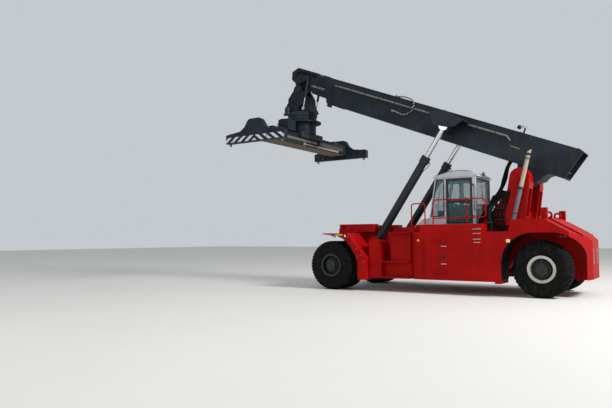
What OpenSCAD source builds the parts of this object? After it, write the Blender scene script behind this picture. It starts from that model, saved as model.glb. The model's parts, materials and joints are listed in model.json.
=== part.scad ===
/* [Wheels] */
// Distance between the drive axle and the steer axle
wheelbase = 6500; // [5800:50:7200]
// Outside diameter of every tyre
tyre_d = 1600; // [1400:10:1700]
// Width of one tyre
tyre_w = 500; // [420:10:540]
// Width over the outer walls of the front twins
front_over_tyres = 4150; // [4000:10:4400]
// Clear gap between the two tyres of a front pair
twin_gap = 60; // [40:5:100]
// Width over the outer walls of the rear tyres
rear_over_tyres = 3280; // [3200:10:3500]
// Radius of the rim flanges
flange_r = 380; // [350:5:400]
// Distance of each kingpin from the centre line
kingpin_y = 1000; // [960:5:1010]

/* [Frame] */
// Outer face of each longitudinal girder
girder_y = 820; // [790:5:840]
// Plate-to-plate width of a girder
girder_w = 320; // [250:10:340]
// Height of the girder tops
girder_top = 2040; // [2000:10:2100]
// Half width of the body at the tanks and fenders
body_y = 1850; // [1750:10:1950]
// Height of the walk-on deck
deck_z = 2090; // [2080:5:2150]
// Underside of the side tanks
tank_bottom = 420; // [350:10:520]
// Top of the side tanks
tank_top = 1860; // [1700:10:1900]
// Front face of the side tanks behind the drive axle
tank_front = 2660; // [2600:10:2800]
// Depth of the locker behind the service door
locker_depth = 450; // [300:10:600]

/* [Rear body] */
// Overhang of the rear face behind the steer axle
tail_overhang = 1170; // [1130:10:1400]
// Distance behind the steer axle at which the side panels turn in
crease_back = 760; // [750:10:900]
// Half width of the flat rear face
tail_y = 620; // [550:10:800]
// Height of the fender tops
fender_top = 2190; // [2150:10:2300]
// Height of the rear edge of the sloping tail
tail_top = 1600; // [1500:10:1700]
// How far the hood stands above the fender tops
hood_rise = 50; // [20:5:80]

/* [Tower and boom] */
// Boom pivot ahead of the steer axle
pivot_ahead = 680; // [600:10:750]
// Height of the boom pivot
pivot_z = 3460; // [3400:10:3600]
// Angle of the boom above level
boom_angle = 22.2; // [15:0.1:30]
// Depth of the outer boom section
boom_h = 920; // [860:10:960]
// Half width of the outer boom section
boom_y = 440; // [400:5:450]
// Plate thickness of the boom
boom_wall = 25; // [16:1:30]
// Underside of the boom above the pivot, square to the boom
boom_rise = 375; // [350:5:420]
// Running space between the boom sections
boom_gap = 32; // [25:1:45]
// Head pin along the boom from the pivot
head_u = 9170; // [9000:10:9400]
// Head pin above the pivot, square to the boom
head_v = 510; // [480:5:540]

/* [Lift cylinders] */
// Distance of each lift cylinder from the centre line
ram_y = 1000; // [980:5:1020]
// Foot pin of the lift cylinders behind the drive axle
ram_foot_back = 1160; // [1120:10:1200]
// Height of the foot pin
ram_foot_z = 1550; // [1500:10:1600]
// Rod eye along the boom from the pivot
ram_eye_u = 2720; // [2650:10:2800]
// Rod eye above the pivot, square to the boom
ram_eye_v = 790; // [760:5:820]
// Barrel radius
barrel_r = 128; // [120:2:134]
// Rod radius
rod_r = 80; // [70:1:90]
// Length of the barrel from foot pin to gland face
barrel_len = 3270; // [3200:10:3300]

/* [Cab] */
// Half width of the cab
cab_y = 780; // [740:5:800]
// Length of the cab from its back wall to the foot of the windscreen
cab_len = 1550; // [1500:10:1600]
// Space between the back wall of the cab and the boom tower
cab_space = 170; // [120:10:250]
// How far the windscreen leans back over its height
screen_lean = 240; // [150:10:300]
// Height of the cab eaves
eaves_z = 3600; // [3500:10:3650]
// Thickness of the cab walls
cab_wall = 50; // [40:2:60]
// Thickness of the cab glass
pane_t = 8; // [6:1:10]

/* [Spreader] */
// Distance between twistlocks across the container
lock_span_x = 2259; // [2259:1:2259]
// Distance between twistlocks along a short container
lock_span_y = 5853; // [5853:1:5853]
// Length of the end beams past the twistlocks
beam_over = 140; // [120:5:160]
// Thickness of the end beams
beam_t = 200; // [180:5:220]
// Height of the end beams beside the hump
beam_h = 310; // [280:5:340]
// Half width of the spreader frame
frame_x = 330; // [320:5:345]
// How far each end of the spreader frame stays short of the end beam
frame_short = 126.5; // [100:0.5:200]
// Height of the spreader frame
frame_h = 400; // [360:5:420]
// Plate thickness of the spreader frame
frame_wall = 14; // [10:1:20]
// How far a sliding beam stays short of the other arm's end beam
slide_short = 373; // [330:1:500]

/* [Hidden] */
$fn = 64;
// Running clearance at pins, rods and pads
run_gap = 0.3;
red = "#a5100f";
slate = "#28323b";
dark = "#15191c";
grey = "#b4b8bf";
glass = "#5fa3a8";
chrome = "#c9cdd2";
rubber = "#101112";
rim_paint = "#a9a69c";
seat_cloth = "#2a2d31";

tyre_r = tyre_d / 2;
wheel_z = tyre_r;
flange_t = 24;
seat_r = 330;
hub_r = 235;
hub_face = 60;
spindle_r = 110;
outer_twin_y = front_over_tyres / 2 - tyre_w / 2;
inner_twin_y = outer_twin_y - tyre_w - twin_gap;
rear_wheel_y = rear_over_tyres / 2 - tyre_w / 2;

steer_x = -wheelbase;
pivot_x = steer_x + pivot_ahead;
tail = steer_x - tail_overhang;
crease = steer_x - crease_back;
head_x = pivot_x + head_u * cos(boom_angle) - head_v * sin(boom_angle);
head_z = pivot_z + head_u * sin(boom_angle) + head_v * cos(boom_angle);
beam_x = lock_span_x / 2 + beam_over;
// The origin lies under the middle of the whole length
axle_x = -(head_x + beam_x + tail) / 2;

column_in = boom_y + 30;
column_out = 980;
ear_r = 280;
trunnion_z = 1030;
trunnion_r = 90;
tower_front = pivot_x + 1180;
tower_back = pivot_x - 140;
cab_back = -tower_front - cab_space;
cab_front = cab_back - cab_len;
pin_r = 90;

slope_start = steer_x - 150;
hood_back = steer_x - 450;
fender_in = 1000;
arch_top = 1830;
arch_front_r = 900;
arch_rear_r = 700;
arch_back = steer_x - 1060;
arch_front = steer_x + 1050;
arch_mid = steer_x + 150;
post_w = 180;
post_h = 330;
post_y = 1400;
post_x = steer_x - 70;
eye_y = 670;
eye_x = steer_x - 45;
eye_r = 110;
eye_bore_r = 55;
eye_t = 50;

ram_foot = [-ram_foot_back, ram_foot_z];
ram_eye = [pivot_x + ram_eye_u * cos(boom_angle) - ram_eye_v * sin(boom_angle),
           pivot_z + ram_eye_u * sin(boom_angle) + ram_eye_v * cos(boom_angle)];
ram_len = norm(ram_eye - ram_foot);
ram_lean = atan2(ram_foot[0] - ram_eye[0], ram_eye[1] - ram_foot[1]);
rod_len = 3080;
ram_half = 145;
ram_side = 10;
foot_pin_r = 60;

// Points along an arc from angle a0 to a1
function arc(c, r, a0, a1, n) =
    [for (i = [0:n]) c + r * [cos(a0 + (a1 - a0) * i / n), sin(a0 + (a1 - a0) * i / n)]];

// Height of the fender tops along the machine
function slope_z(x) = x > slope_start ? fender_top
    : fender_top + (x - slope_start) * (fender_top - tail_top) / (slope_start - tail);

// Front edge of the rear fenders, which the tanks meet
function fender_edge(z) = steer_x + 1220 - (z - 370) * 490 / 1820;

// Places everything that is measured from the drive axle
module placed() { translate([axle_x, 0, 0]) children(); }

// A block between two corners given as ranges
module slab(x, y, z) {
    translate([x[0], y[0], z[0]]) cube([x[1] - x[0], y[1] - y[0], z[1] - z[0]]);
}

// A side outline of x and z points, between two places across the machine
module side_plate(outline, y) {
    translate([0, y[1], 0]) rotate([90, 0, 0]) linear_extrude(y[1] - y[0]) polygon(outline);
}

// A round bar across the machine
module cross_bar(c, r, y) {
    translate([c[0], y[0], c[1]]) rotate([-90, 0, 0]) cylinder(r = r, h = y[1] - y[0]);
}

module both_sides() {
    children();
    mirror([0, 1, 0]) children();
}

module mirrored(side) {
    if (side > 0) children();
    else mirror([0, 1, 0]) children();
}

// Turns u along the boom and v square to it into the machine's frame
module in_boom() { translate([pivot_x, 0, pivot_z]) rotate([0, -boom_angle, 0]) children(); }

// Space that the rear wheel turns in
module wheel_arch(y) {
    cross_bar([arch_mid, arch_top - arch_front_r], arch_front_r, y);
    cross_bar([arch_back + arch_rear_r, arch_top - arch_rear_r], arch_rear_r, y);
    slab([arch_back + arch_rear_r, arch_mid], y, [-100, arch_top]);
    slab([arch_back, steer_x + 500], y, [-100, arch_top - arch_rear_r]);
    slab([arch_mid, arch_front], y, [-100, arch_top - arch_front_r]);
}

beam_end_y = 1150;
foot_plate_t = 45;

// Box girders, cross members, front beams and the feet of the lift cylinders
module main_frame() {
    front_girder = [[-1300, 760], [steer_x + 1270, 760], [steer_x + 1100, 1300],
                    [steer_x + 1040, 1680], [tower_back, 1700], [tower_back, girder_top],
                    [200, girder_top], [200, 1160], [-950, 1160]];
    rear_girder = [[steer_x + 1300, 760], [steer_x + 1150, 760], [steer_x + 900, 1160],
                   [hood_back, 1160], [hood_back, 1850], [steer_x + 1300, 1850]];
    foot_plate = [[-930, 1120], [-1420, 1120], [-1420, 1500], [-1250, 1740], [-1060, 1740],
                  [-930, 1500]];
    foot_in = ram_y - ram_half - ram_side;
    foot_out = ram_y + ram_half + ram_side;
    color(red) placed() {
        both_sides() {
            side_plate(front_girder, [girder_y - girder_w, girder_y]);
            side_plate(rear_girder, [250, 600]);
            difference() {
                slab([-1140, 180], [girder_y, beam_end_y], [1900, 2160]);
                // Slot in the end of the front beam
                slab([-50, 70], [beam_end_y - 60, beam_end_y + 10], [1925, 2125]);
            }
            side_plate(foot_plate, [girder_y, foot_in]);
            side_plate(foot_plate, [foot_out, foot_out + foot_plate_t]);
            slab([-1420, -930], [girder_y, foot_out + foot_plate_t], [1120, 1170]);
            cross_bar(ram_foot, foot_pin_r, [girder_y, foot_out + foot_plate_t + 15]);
        }
        // Cross members: places along the machine and heights
        for (m = [[[20, 180], [1300, girder_top]], [[-1900, -1650], [900, 1700]],
                  [[steer_x + 1300, steer_x + 1550], [820, 940]],
                  [[steer_x + 2700, steer_x + 2900], [820, 940]]])
            slab(m[0], [-550, 550], m[1]);
        slab([steer_x - 400, steer_x - 200], [-300, 300], [1300, 1850]);
        // Seats of the drive axle
        both_sides() slab([-220, 220], [560, 760], [1080, 1160]);
        // Pivot bearers of the steer axle
        difference() {
            for (dx = [-330, 230])
                slab([steer_x + dx, steer_x + dx + 100], [-300, 300], [900, 1300]);
            translate([steer_x - 400, 0, trunnion_z]) rotate([0, 90, 0])
                cylinder(r = trunnion_r + run_gap, h = 800);
        }
    }
}

// Two box columns whose rounded ears hold the boom pivot pin
module boom_tower() {
    column = concat([[tower_front, girder_top], [pivot_x + 530, 2800], [pivot_x + 350, 3100]],
                    arc([pivot_x, pivot_z], ear_r, 10, 170, 14),
                    [[pivot_x - 280, pivot_z - 210], [tower_back, fender_top + hood_rise],
                     [tower_back, girder_top]]);
    // Space between the side plates, open at the back
    bay = [[tower_back - 300, 2290], [tower_back + 240, 2290], [tower_back + 100, pivot_z - 340],
           [tower_back - 300, pivot_z - 340]];
    color(red) placed() {
        both_sides() difference() {
            side_plate(column, [column_in, column_out]);
            side_plate(bay, [column_in + 45, column_out - 45]);
        }
        slab([pivot_x - 30, pivot_x + 70], [-column_in, column_in], [girder_top, 2480]);
        slab([pivot_x + 520, pivot_x + 600], [-column_in, column_in], [girder_top, 2700]);
        cross_bar([pivot_x, pivot_z], pin_r, [-column_out - 40, column_out + 40]);
        both_sides() cross_bar([pivot_x, pivot_z], 170, [column_out, column_out + 25]);
    }
}

// Side outline of the fender with its sloping top
module fender_side(y) {
    side_plate([[fender_edge(370), 370], [fender_edge(fender_top), fender_top],
                [slope_start, fender_top], [crease, slope_z(crease)], [crease, 370]], y);
}

module rear_fenders() {
    color(red) placed() both_sides() {
        difference() {
            fender_side([fender_in, body_y]);
            wheel_arch([fender_in - 10, body_y + 10]);
        }
        // Guide post on the fender top
        slab([post_x - post_w / 2, post_x + post_w / 2], [post_y - post_w / 2, post_y + post_w / 2],
             [fender_top - 20, fender_top + post_h]);
    }
}

lamp_y = [200, 520];
lamp_z = [900, 1380];
lamp_depth = 30;

// Cast tail weight, between and behind the rear wheels
module counterweight() {
    color(red) placed() difference() {
        union() {
            intersection() {
                side_plate([[crease, 450], [crease, slope_z(crease)], [tail, tail_top], [tail, 500]],
                           [-body_y, body_y]);
                translate([0, 0, 400]) linear_extrude(1800)
                    polygon([[crease, -body_y], [crease, body_y], [tail, tail_y], [tail, -tail_y]]);
            }
            // Raised middle, in line with the hood
            side_plate([[hood_back, 500], [hood_back, slope_z(hood_back) + hood_rise],
                        [tail + 60, tail_top + hood_rise], [tail + 60, 500]],
                       [-tail_y, tail_y]);
            side_plate([[hood_back, 1700], [hood_back, slope_z(hood_back) + hood_rise],
                        [crease - 240, slope_z(crease - 240) + hood_rise], [crease - 240, 1600],
                        [crease, 1600], [crease, 1700]], [-fender_in, fender_in]);
        }
        both_sides() wheel_arch([tail_y, body_y + 10]);
        // Recesses of the tail lamps
        both_sides() slab([tail - 10, tail + lamp_depth], lamp_y, lamp_z);
    }
}

// Hood over the engine bay, with two lifting eyes
module rear_hood() {
    top = fender_top + hood_rise;
    color(red) placed() {
        difference() {
            side_plate([[tower_back, 1850], [tower_back, top], [slope_start, top],
                        [hood_back, slope_z(hood_back) + hood_rise], [hood_back, 1850]],
                       [-fender_in, fender_in]);
            slab([steer_x - 300, steer_x + 400], [-800, 800], [1800, 2150]);
        }
        both_sides() difference() {
            union() {
                cross_bar([eye_x, top + eye_r - 15], eye_r, [eye_y - eye_t / 2, eye_y + eye_t / 2]);
                slab([eye_x - eye_r, eye_x + eye_r], [eye_y - eye_t / 2, eye_y + eye_t / 2],
                     [top, top + 60]);
            }
            cross_bar([eye_x, top + eye_r - 15], eye_bore_r, [eye_y - eye_t, eye_y + eye_t]);
        }
    }
}

// Side box with a rounded front corner that meets the fender at the back
module tank_body() {
    front = -tank_front;
    corner_r = 380;
    plan = concat([[front, girder_y]],
                  arc([front - corner_r, body_y - corner_r], corner_r, 0, 90, 10),
                  [[steer_x + 700, body_y], [steer_x + 700, girder_y]]);
    intersection() {
        side_plate([[front, tank_bottom], [fender_edge(tank_bottom), tank_bottom],
                    [fender_edge(tank_top), tank_top], [front, tank_top]], [girder_y, body_y]);
        linear_extrude(2500) polygon(plan);
    }
}

door_x = [-tank_front - 1240, -tank_front - 470];
door_z = [600, 1620];
door_t = 30;
door_gap = 6;
hinge_r = 14;
door_hinge = [door_x[1] + 20, body_y + 18];

module side_tank_left() {
    color(red) placed() {
        difference() {
            tank_body();
            slab([door_x[0] - door_gap, door_x[1] + door_gap], [body_y - door_t - door_gap, body_y + 10],
                 [door_z[0] - door_gap, door_z[1] + door_gap]);
            slab([door_x[0] + 40, door_x[1] - 40], [body_y - locker_depth, body_y],
                 [door_z[0] + 40, door_z[1] - 40]);
        }
        // Hinge pins of the service door
        for (z = [760, 1440]) {
            translate([door_hinge[0], door_hinge[1], z - 70]) cylinder(r = 8, h = 140);
            for (dz = [-70, 40]) translate([door_hinge[0], door_hinge[1], z + dz])
                cylinder(r = hinge_r, h = 30);
            for (dz = [-70, 40]) slab([door_hinge[0] - 6, door_hinge[0] + 40], [body_y, body_y + 18],
                                      [z + dz, z + dz + 30]);
        }
    }
}

module side_tank_right() {
    color(red) placed() {
        mirror([0, 1, 0]) tank_body();
        // Filler neck and cap
        translate([-3600, -1500, tank_top]) cylinder(r = 70, h = 90);
        translate([-3600, -1500, tank_top + 90]) cylinder(r = 85, h = 35);
    }
}

// Service door, hinged at its front edge
module service_door() {
    color(red) placed() {
        slab(door_x, [body_y - door_t, body_y], door_z);
        for (z = [760, 1440]) {
            difference() {
                union() {
                    translate([door_hinge[0], door_hinge[1], z - 38]) cylinder(r = hinge_r, h = 76);
                    slab([door_x[1] - 60, door_hinge[0]], [body_y, body_y + 12], [z - 38, z + 38]);
                }
                translate([door_hinge[0], door_hinge[1], z - 60]) cylinder(r = 8 + run_gap, h = 120);
            }
        }
        for (z = [790, 1400]) slab([door_x[0] + 40, door_x[0] + 190], [body_y, body_y + 22], [z, z + 40]);
    }
}

step_front = -1300;
step_back = -1710;
step_top = 1620;
step_bend = 190;

// Boarding steps in front of each tank
module steps() {
    back_y = 1250;
    box = concat([[step_front, tank_bottom], [step_front, step_top]],
                 arc([step_back + step_bend, step_top - step_bend], step_bend, 90, 180, 8),
                 [[step_back, tank_bottom]]);
    color(red) placed() both_sides() {
        // Front box beside the mudguard
        side_plate(box, [back_y, body_y]);
        // Back wall and two treads
        slab([-tank_front, step_back], [back_y, back_y + 20], [tank_bottom, tank_top]);
        slab([-tank_front, step_back], [back_y + 20, body_y], [tank_bottom, tank_bottom + 40]);
        slab([-tank_front, step_back], [back_y + 20, body_y - 40], [920, 950]);
        slab([-tank_front, step_back], [1560, 1580], [tank_bottom + 40, 920]);
        // Panel above the treads and the top ledge
        slab([-tank_front, -tank_front + 680], [back_y + 20, 1640], [950, tank_top - 30]);
        slab([-tank_front, -tank_front + 680], [back_y, body_y], [tank_top - 30, tank_top]);
    }
}

// Walk-on deck round the cab
module deck() {
    edge = tower_front - 310;
    notch = -tank_front - 400;
    color(red) placed() {
        slab([tower_front, -cab_front + 420], [-girder_y, girder_y], [girder_top, deck_z]);
        both_sides() {
            slab([edge, tower_front], [column_out, body_y], [girder_top, deck_z]);
            slab([tower_front, notch], [girder_y, body_y], [girder_top, deck_z]);
            slab([notch, -tank_front], [girder_y, 1560], [girder_top, deck_z]);
            slab([edge, notch], [body_y - 30, body_y], [tank_top, girder_top]);
            slab([notch, notch + 30], [1560, body_y - 30], [tank_top, girder_top]);
            slab([edge, edge + 30], [column_out, body_y - 30], [tank_top, girder_top]);
        }
    }
}

rail_r = 19;
post_r = 16;
bend_r = 90;

// Rail along x and z points at one place across the machine, with round bends
module rail(points, y) {
    n = len(points);
    leg = [for (i = [0:n - 2]) (points[i + 1] - points[i]) / norm(points[i + 1] - points[i])];
    turn = [for (i = [0:n - 3]) atan2(leg[i][0] * leg[i + 1][1] - leg[i][1] * leg[i + 1][0],
                                      leg[i] * leg[i + 1])];
    cut = [for (a = turn) bend_r * tan(abs(a) / 2)];
    for (i = [0:n - 2]) {
        a = points[i] + leg[i] * (i > 0 ? cut[i - 1] : 0);
        b = points[i + 1] - leg[i] * (i < n - 2 ? cut[i] : 0);
        translate([a[0], y, a[1]]) rotate([0, 90 - atan2(leg[i][1], leg[i][0]), 0])
            cylinder(r = rail_r, h = norm(b - a), $fn = 32);
    }
    for (i = [0:n - 3]) {
        s = turn[i] > 0 ? 1 : -1;
        side = s * [-leg[i][1], leg[i][0]];
        c = points[i + 1] - leg[i] * cut[i] + side * bend_r;
        start = atan2(-side[1], -side[0]);
        translate([c[0], y, c[1]]) rotate([90, 0, 0])
            rotate([0, 0, s > 0 ? start : start - abs(turn[i])])
                rotate_extrude(angle = abs(turn[i]), $fn = 48) translate([bend_r, 0])
                    circle(r = rail_r, $fn = 32);
    }
}

module handrails() {
    y = body_y - 70;
    front = -tank_front - 800;
    back = tower_front - 410;
    low = 2280;
    high = 2830;
    color(red) placed() both_sides() {
        rail([[front, deck_z], [front, high], [back, high], [back, low], [front - rail_r + 3, low]], y);
        translate([tower_front + 140, y, deck_z])
            cylinder(r = post_r, h = low - rail_r + 4 - deck_z, $fn = 32);
        translate([tower_front + 140, y, low + rail_r - 4])
            cylinder(r = post_r, h = high - low - 2 * rail_r + 8, $fn = 32);
        // Boarding loop from the top ledge
        rail([[-tank_front - 100, tank_top], [-tank_front - 100, 2740], [-tank_front - 540, 2740],
              [-tank_front - 540, deck_z]], y);
    }
}

guard_back = -1280;
guard_y = front_over_tyres / 2 + 25;

// Bent plate with a side flange over each pair of front wheels
module mudguards() {
    t = 16;
    // Outside of the bent plate from its front end down to its rear end
    bend = [[300, 1850], [-620, 1850], [-1240, 1110], [guard_back, 1080], [guard_back, 360]];
    skin = concat(bend, [[guard_back + t, 360], [guard_back + t, 1074], [-1230 + t, 1104 - t / 2],
                         [-612, 1850 - t], [300, 1850 - t]]);
    // Edge of the side flange round the tyre
    lip = [[-1010, 360], [-1010, 920], [-940, 1110], [-780, 1370], [-590, 1600], [-450, 1680],
           [-260, 1760], [300, 1820]];
    color(red) placed() both_sides() {
        side_plate(skin, [1215, guard_y]);
        side_plate(concat(bend, lip), [guard_y - 15, guard_y]);
        // Stays to the front beam and to the step box
        slab([-500, 150], [beam_end_y, beam_end_y + 100], [1850, 2000]);
        slab([step_front, guard_back], [1400, 1600], [700, 1050]);
    }
}

axle_nose = 460;

// Drive axle with its differential housing
module drive_axle() {
    side_out = inner_twin_y - tyre_w / 2 - 20;
    color(dark) placed() {
        difference() {
            union() {
                cross_bar([0, wheel_z], 210, [-side_out, side_out]);
                cross_bar([0, wheel_z], 330, [-300, 300]);
                translate([-axle_nose, 0, wheel_z]) rotate([0, 90, 0])
                    cylinder(r = 230, h = axle_nose - 60);
                both_sides() cross_bar([0, wheel_z], spindle_r, [side_out, outer_twin_y + 150]);
                both_sides() cross_bar([0, wheel_z], 270, [side_out - 120, side_out - 40]);
                both_sides() slab([-200, 200], [560, 760], [wheel_z, 1080]);
            }
        }
    }
}

fork_r = 120;
knuckle_r = 105;
knuckle_h = 440;
king_r = 45;

// Steer axle beam with a fork at each end
module steer_axle() {
    color(dark) placed() translate([steer_x, 0, 0]) {
        slab([-180, 180], [-700, 700], [wheel_z - 160, wheel_z + 160]);
        slab([-230, 230], [-240, 240], [wheel_z - 200, wheel_z + 100]);
        // Trunnions held by the frame's bearers
        translate([-330, 0, trunnion_z]) rotate([0, 90, 0]) cylinder(r = trunnion_r, h = 660);
        slab([-230, 230], [-120, 120], [wheel_z + 100, trunnion_z + 70]);
        // Steering cylinder
        translate([260, 0, wheel_z]) cross_bar([0, 0], 70, [-420, 420]);
        slab([180, 300], [-100, 100], [wheel_z - 60, wheel_z + 60]);
        both_sides() translate([260, 0, wheel_z]) cross_bar([0, 0], 30, [420, 640]);
        both_sides() for (z = [wheel_z - knuckle_h / 2 - 60, wheel_z + knuckle_h / 2]) {
            translate([0, kingpin_y, z]) cylinder(r = fork_r, h = 60 - run_gap);
            slab([-fork_r, fork_r], [640, kingpin_y], [z, z + 60 - run_gap]);
        }
        both_sides() slab([-160, 160], [640, 760], [wheel_z - 280, wheel_z + 280 - run_gap]);
        both_sides() translate([0, kingpin_y, wheel_z - knuckle_h / 2 - 60])
            cylinder(r = king_r, h = knuckle_h + 120 - run_gap);
    }
}

// Knuckle that turns on the kingpin and carries the rear wheel
module knuckle(side) {
    color(dark) placed() translate([steer_x, 0, 0]) mirrored(side) difference() {
        union() {
            translate([0, kingpin_y, wheel_z - knuckle_h / 2 + run_gap])
                cylinder(r = knuckle_r, h = knuckle_h - 2 * run_gap);
            cross_bar([0, wheel_z], spindle_r, [kingpin_y, rear_wheel_y + 150]);
        }
        translate([0, kingpin_y, 0]) cylinder(r = king_r + run_gap, h = 2 * wheel_z);
    }
}

// Section of one tyre as radius and half width, from bead to tread
tyre_side = [[seat_r + run_gap, tyre_w / 2 - 35], [flange_r + 5, tyre_w / 2 - 35],
             [flange_r + 60, tyre_w / 2 - 10], [flange_r + 160, tyre_w / 2],
             [tyre_r - 130, tyre_w / 2 - 2], [tyre_r - 60, tyre_w / 2 - 16],
             [tyre_r - 20, tyre_w / 2 - 42], [tyre_r, tyre_w / 2 - 80]];

module tyre(y) {
    half = tyre_side;
    outline = concat(half, [for (i = [len(half) - 1:-1:0]) [half[i][0], -half[i][1]]]);
    translate([0, y, wheel_z]) rotate([-90, 0, 0]) rotate_extrude($fn = 96) polygon(outline);
}

// Rim barrel with two flanges and a web at one place across it
module rim(y, web_y) {
    w = tyre_w / 2 - 35;
    outline = [[seat_r - 25, -w - flange_t], [flange_r, -w - flange_t], [flange_r, -w - run_gap],
               [seat_r, -w - run_gap], [seat_r, w + run_gap], [flange_r, w + run_gap],
               [flange_r, w + flange_t], [seat_r - 25, w + flange_t]];
    translate([0, y, wheel_z]) rotate([-90, 0, 0]) rotate_extrude($fn = 96) polygon(outline);
    cross_bar([0, wheel_z], seat_r - 10, [web_y, web_y + 30]);
}

// Hub with a stepped face
module hub(y_in, y_out) {
    cross_bar([0, wheel_z], hub_r, [y_in, y_out - hub_face]);
    cross_bar([0, wheel_z], hub_r - 70, [y_out - hub_face, y_out]);
}

module tyres_front(side) {
    color(rubber) placed() mirrored(side) {
        tyre(inner_twin_y);
        tyre(outer_twin_y);
    }
}

module rims_front(side) {
    color(dark) placed() mirrored(side) difference() {
        union() {
            rim(inner_twin_y, inner_twin_y + 100);
            rim(outer_twin_y, outer_twin_y + 40);
            hub(inner_twin_y - tyre_w / 2 + 10, outer_twin_y + 230);
        }
        cross_bar([0, wheel_z], spindle_r + run_gap, [0, outer_twin_y + 150 + run_gap]);
    }
}

module tyre_rear(side) {
    color(rubber) placed() translate([steer_x, 0, 0]) mirrored(side) tyre(rear_wheel_y);
}

module rim_rear(side) {
    color(rim_paint) placed() translate([steer_x, 0, 0]) mirrored(side) difference() {
        union() {
            rim(rear_wheel_y, rear_wheel_y + 40);
            hub(rear_wheel_y - 120, rear_wheel_y + 200);
        }
        cross_bar([0, wheel_z], spindle_r + run_gap, [0, rear_wheel_y + 150 + run_gap]);
    }
}

engine_front = steer_x + 2700;
gearbox_len = 850;

module engine_block() {
    color(dark) placed() slab([steer_x + 1350, engine_front], [-430, 430], [940, 1960]);
}

// Gearbox behind the drive axle and the shaft between them
module driveline() {
    gear_front = engine_front + gearbox_len;
    shaft_start = gear_front + 70;
    color(dark) placed() {
        slab([engine_front, gear_front], [-360, 360], [940, 1650]);
        slab([engine_front + 50, engine_front + 150], [-480, 480], [940, 1100]);
        slab([gear_front, shaft_start], [-120, 120], [700, 1000]);
        translate([shaft_start, 0, wheel_z]) rotate([0, 90, 0])
            cylinder(r = 70, h = -axle_nose - shaft_start);
    }
}

// Leaning exhaust pipe beside the tower, with a clamp
module exhaust_stack() {
    base = [pivot_x + 240, column_out + 130, tank_top];
    lean = 13.7;
    pipe_r = 62;
    len = 2440;
    color(grey) placed() translate(base) rotate([0, -lean, 0]) difference() {
        union() {
            translate([0, 0, 16]) cylinder(r = pipe_r, h = len);
            translate([0, 0, 1270]) cylinder(r = pipe_r + 18, h = 60);
        }
        translate([0, 0, 1500]) cylinder(r = pipe_r - 5, h = len);
        // Slanted mouth
        translate([0, 0, len + 60]) rotate([0, 40, 0]) cube([400, 400, 160], center = true);
    }
    color(grey) placed() slab([base[0] - 50, base[0] + 90], [base[1] - 85, base[1] + 85],
                              [tank_top, tank_top + 16]);
}

// Tail lamps in their recesses and round lamps on the mudguards
module lamps() {
    margin = 10;
    color(red) placed() both_sides() {
        slab([tail + 5, tail + lamp_depth], [lamp_y[0] + margin, lamp_y[1] - margin],
             [lamp_z[0] + margin, lamp_z[1] - margin]);
        cross_bar([-580, 1760], 40, [guard_y, guard_y + 25]);
    }
}

screen_top = cab_front + screen_lean;
cab_door_x = [-cab_back + 110, -cab_back + 950];
cab_door_z = [deck_z + 35, eaves_z - 45];
cab_floor = deck_z + 60;
cab_side = [[-cab_front, deck_z], [-cab_back, deck_z], [-cab_back, eaves_z], [-screen_top, eaves_z]];

pillar_x = -cab_front - 520;
screen_zone = [-cab_front - 380, -cab_front + 120];

// Outline of the front side window
function side_window(m) =
    [[-cab_front - 50 - screen_lean * 0.18 + m, 2370 - m], [pillar_x - m, 2370 - m],
     [pillar_x - m, eaves_z - 60 + m], [-screen_top - 50 + m, eaves_z - 60 + m]];

// Cab frame: floor and walls with their windows cut
module cab_shell() {
    door_cut = [cab_door_x[0] - 5, cab_door_x[1] + 5];
    color(grey) placed() difference() {
        side_plate(cab_side, [-cab_y, cab_y]);
        side_plate([[-cab_front - cab_wall, cab_floor], [-cab_back + cab_wall, cab_floor],
                    [-cab_back + cab_wall, eaves_z + 10], [-screen_top - cab_wall, eaves_z + 10]],
                   [-cab_y + cab_wall, cab_y - cab_wall]);
        // Front and rear windows
        slab(screen_zone, [-cab_y + 70, cab_y - 70], [2330, eaves_z - 50]);
        slab([-cab_back - 10, -cab_back + cab_wall + 10], [-cab_y + 90, cab_y - 90], [2700, eaves_z - 60]);
        // Side windows
        side_plate(side_window(0), [-cab_y - 10, cab_y + 10]);
        // Door opening on the left and a long window on the right
        slab(door_cut, [cab_y - cab_wall - 10, cab_y + 10], [cab_door_z[0] - 5, cab_door_z[1] + 5]);
        slab([cab_door_x[0] + 40, cab_door_x[1] - 40], [-cab_y - 10, -cab_y + cab_wall + 10],
             [2700, eaves_z - 60]);
    }
    color(grey) placed() for (z = [2350, 3330]) {
        translate([cab_hinge[0], cab_hinge[1], z - 60]) cylinder(r = 8, h = 120);
        for (dz = [-60, 35]) {
            translate([cab_hinge[0], cab_hinge[1], z + dz]) cylinder(r = 16, h = 25);
            slab([cab_hinge[0] - 50, cab_hinge[0]], [cab_y, cab_y + 16], [z + dz, z + dz + 25]);
        }
    }
}

cab_hinge = [cab_door_x[0] - 20, cab_y + 22];

module cab_roof() {
    crown = [[-screen_top + 60, eaves_z], [-cab_back - 50, eaves_z], [-cab_back - 50, eaves_z + 50],
             [-cab_back + 120, eaves_z + 140], [-cab_back + 270, eaves_z + 168],
             [-cab_back + 720, eaves_z + 175], [-cab_back + 910, eaves_z + 155],
             [-screen_top + 60, eaves_z + 50]];
    color(grey) placed() side_plate(crown, [-cab_y - 20, cab_y + 20]);
}

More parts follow.
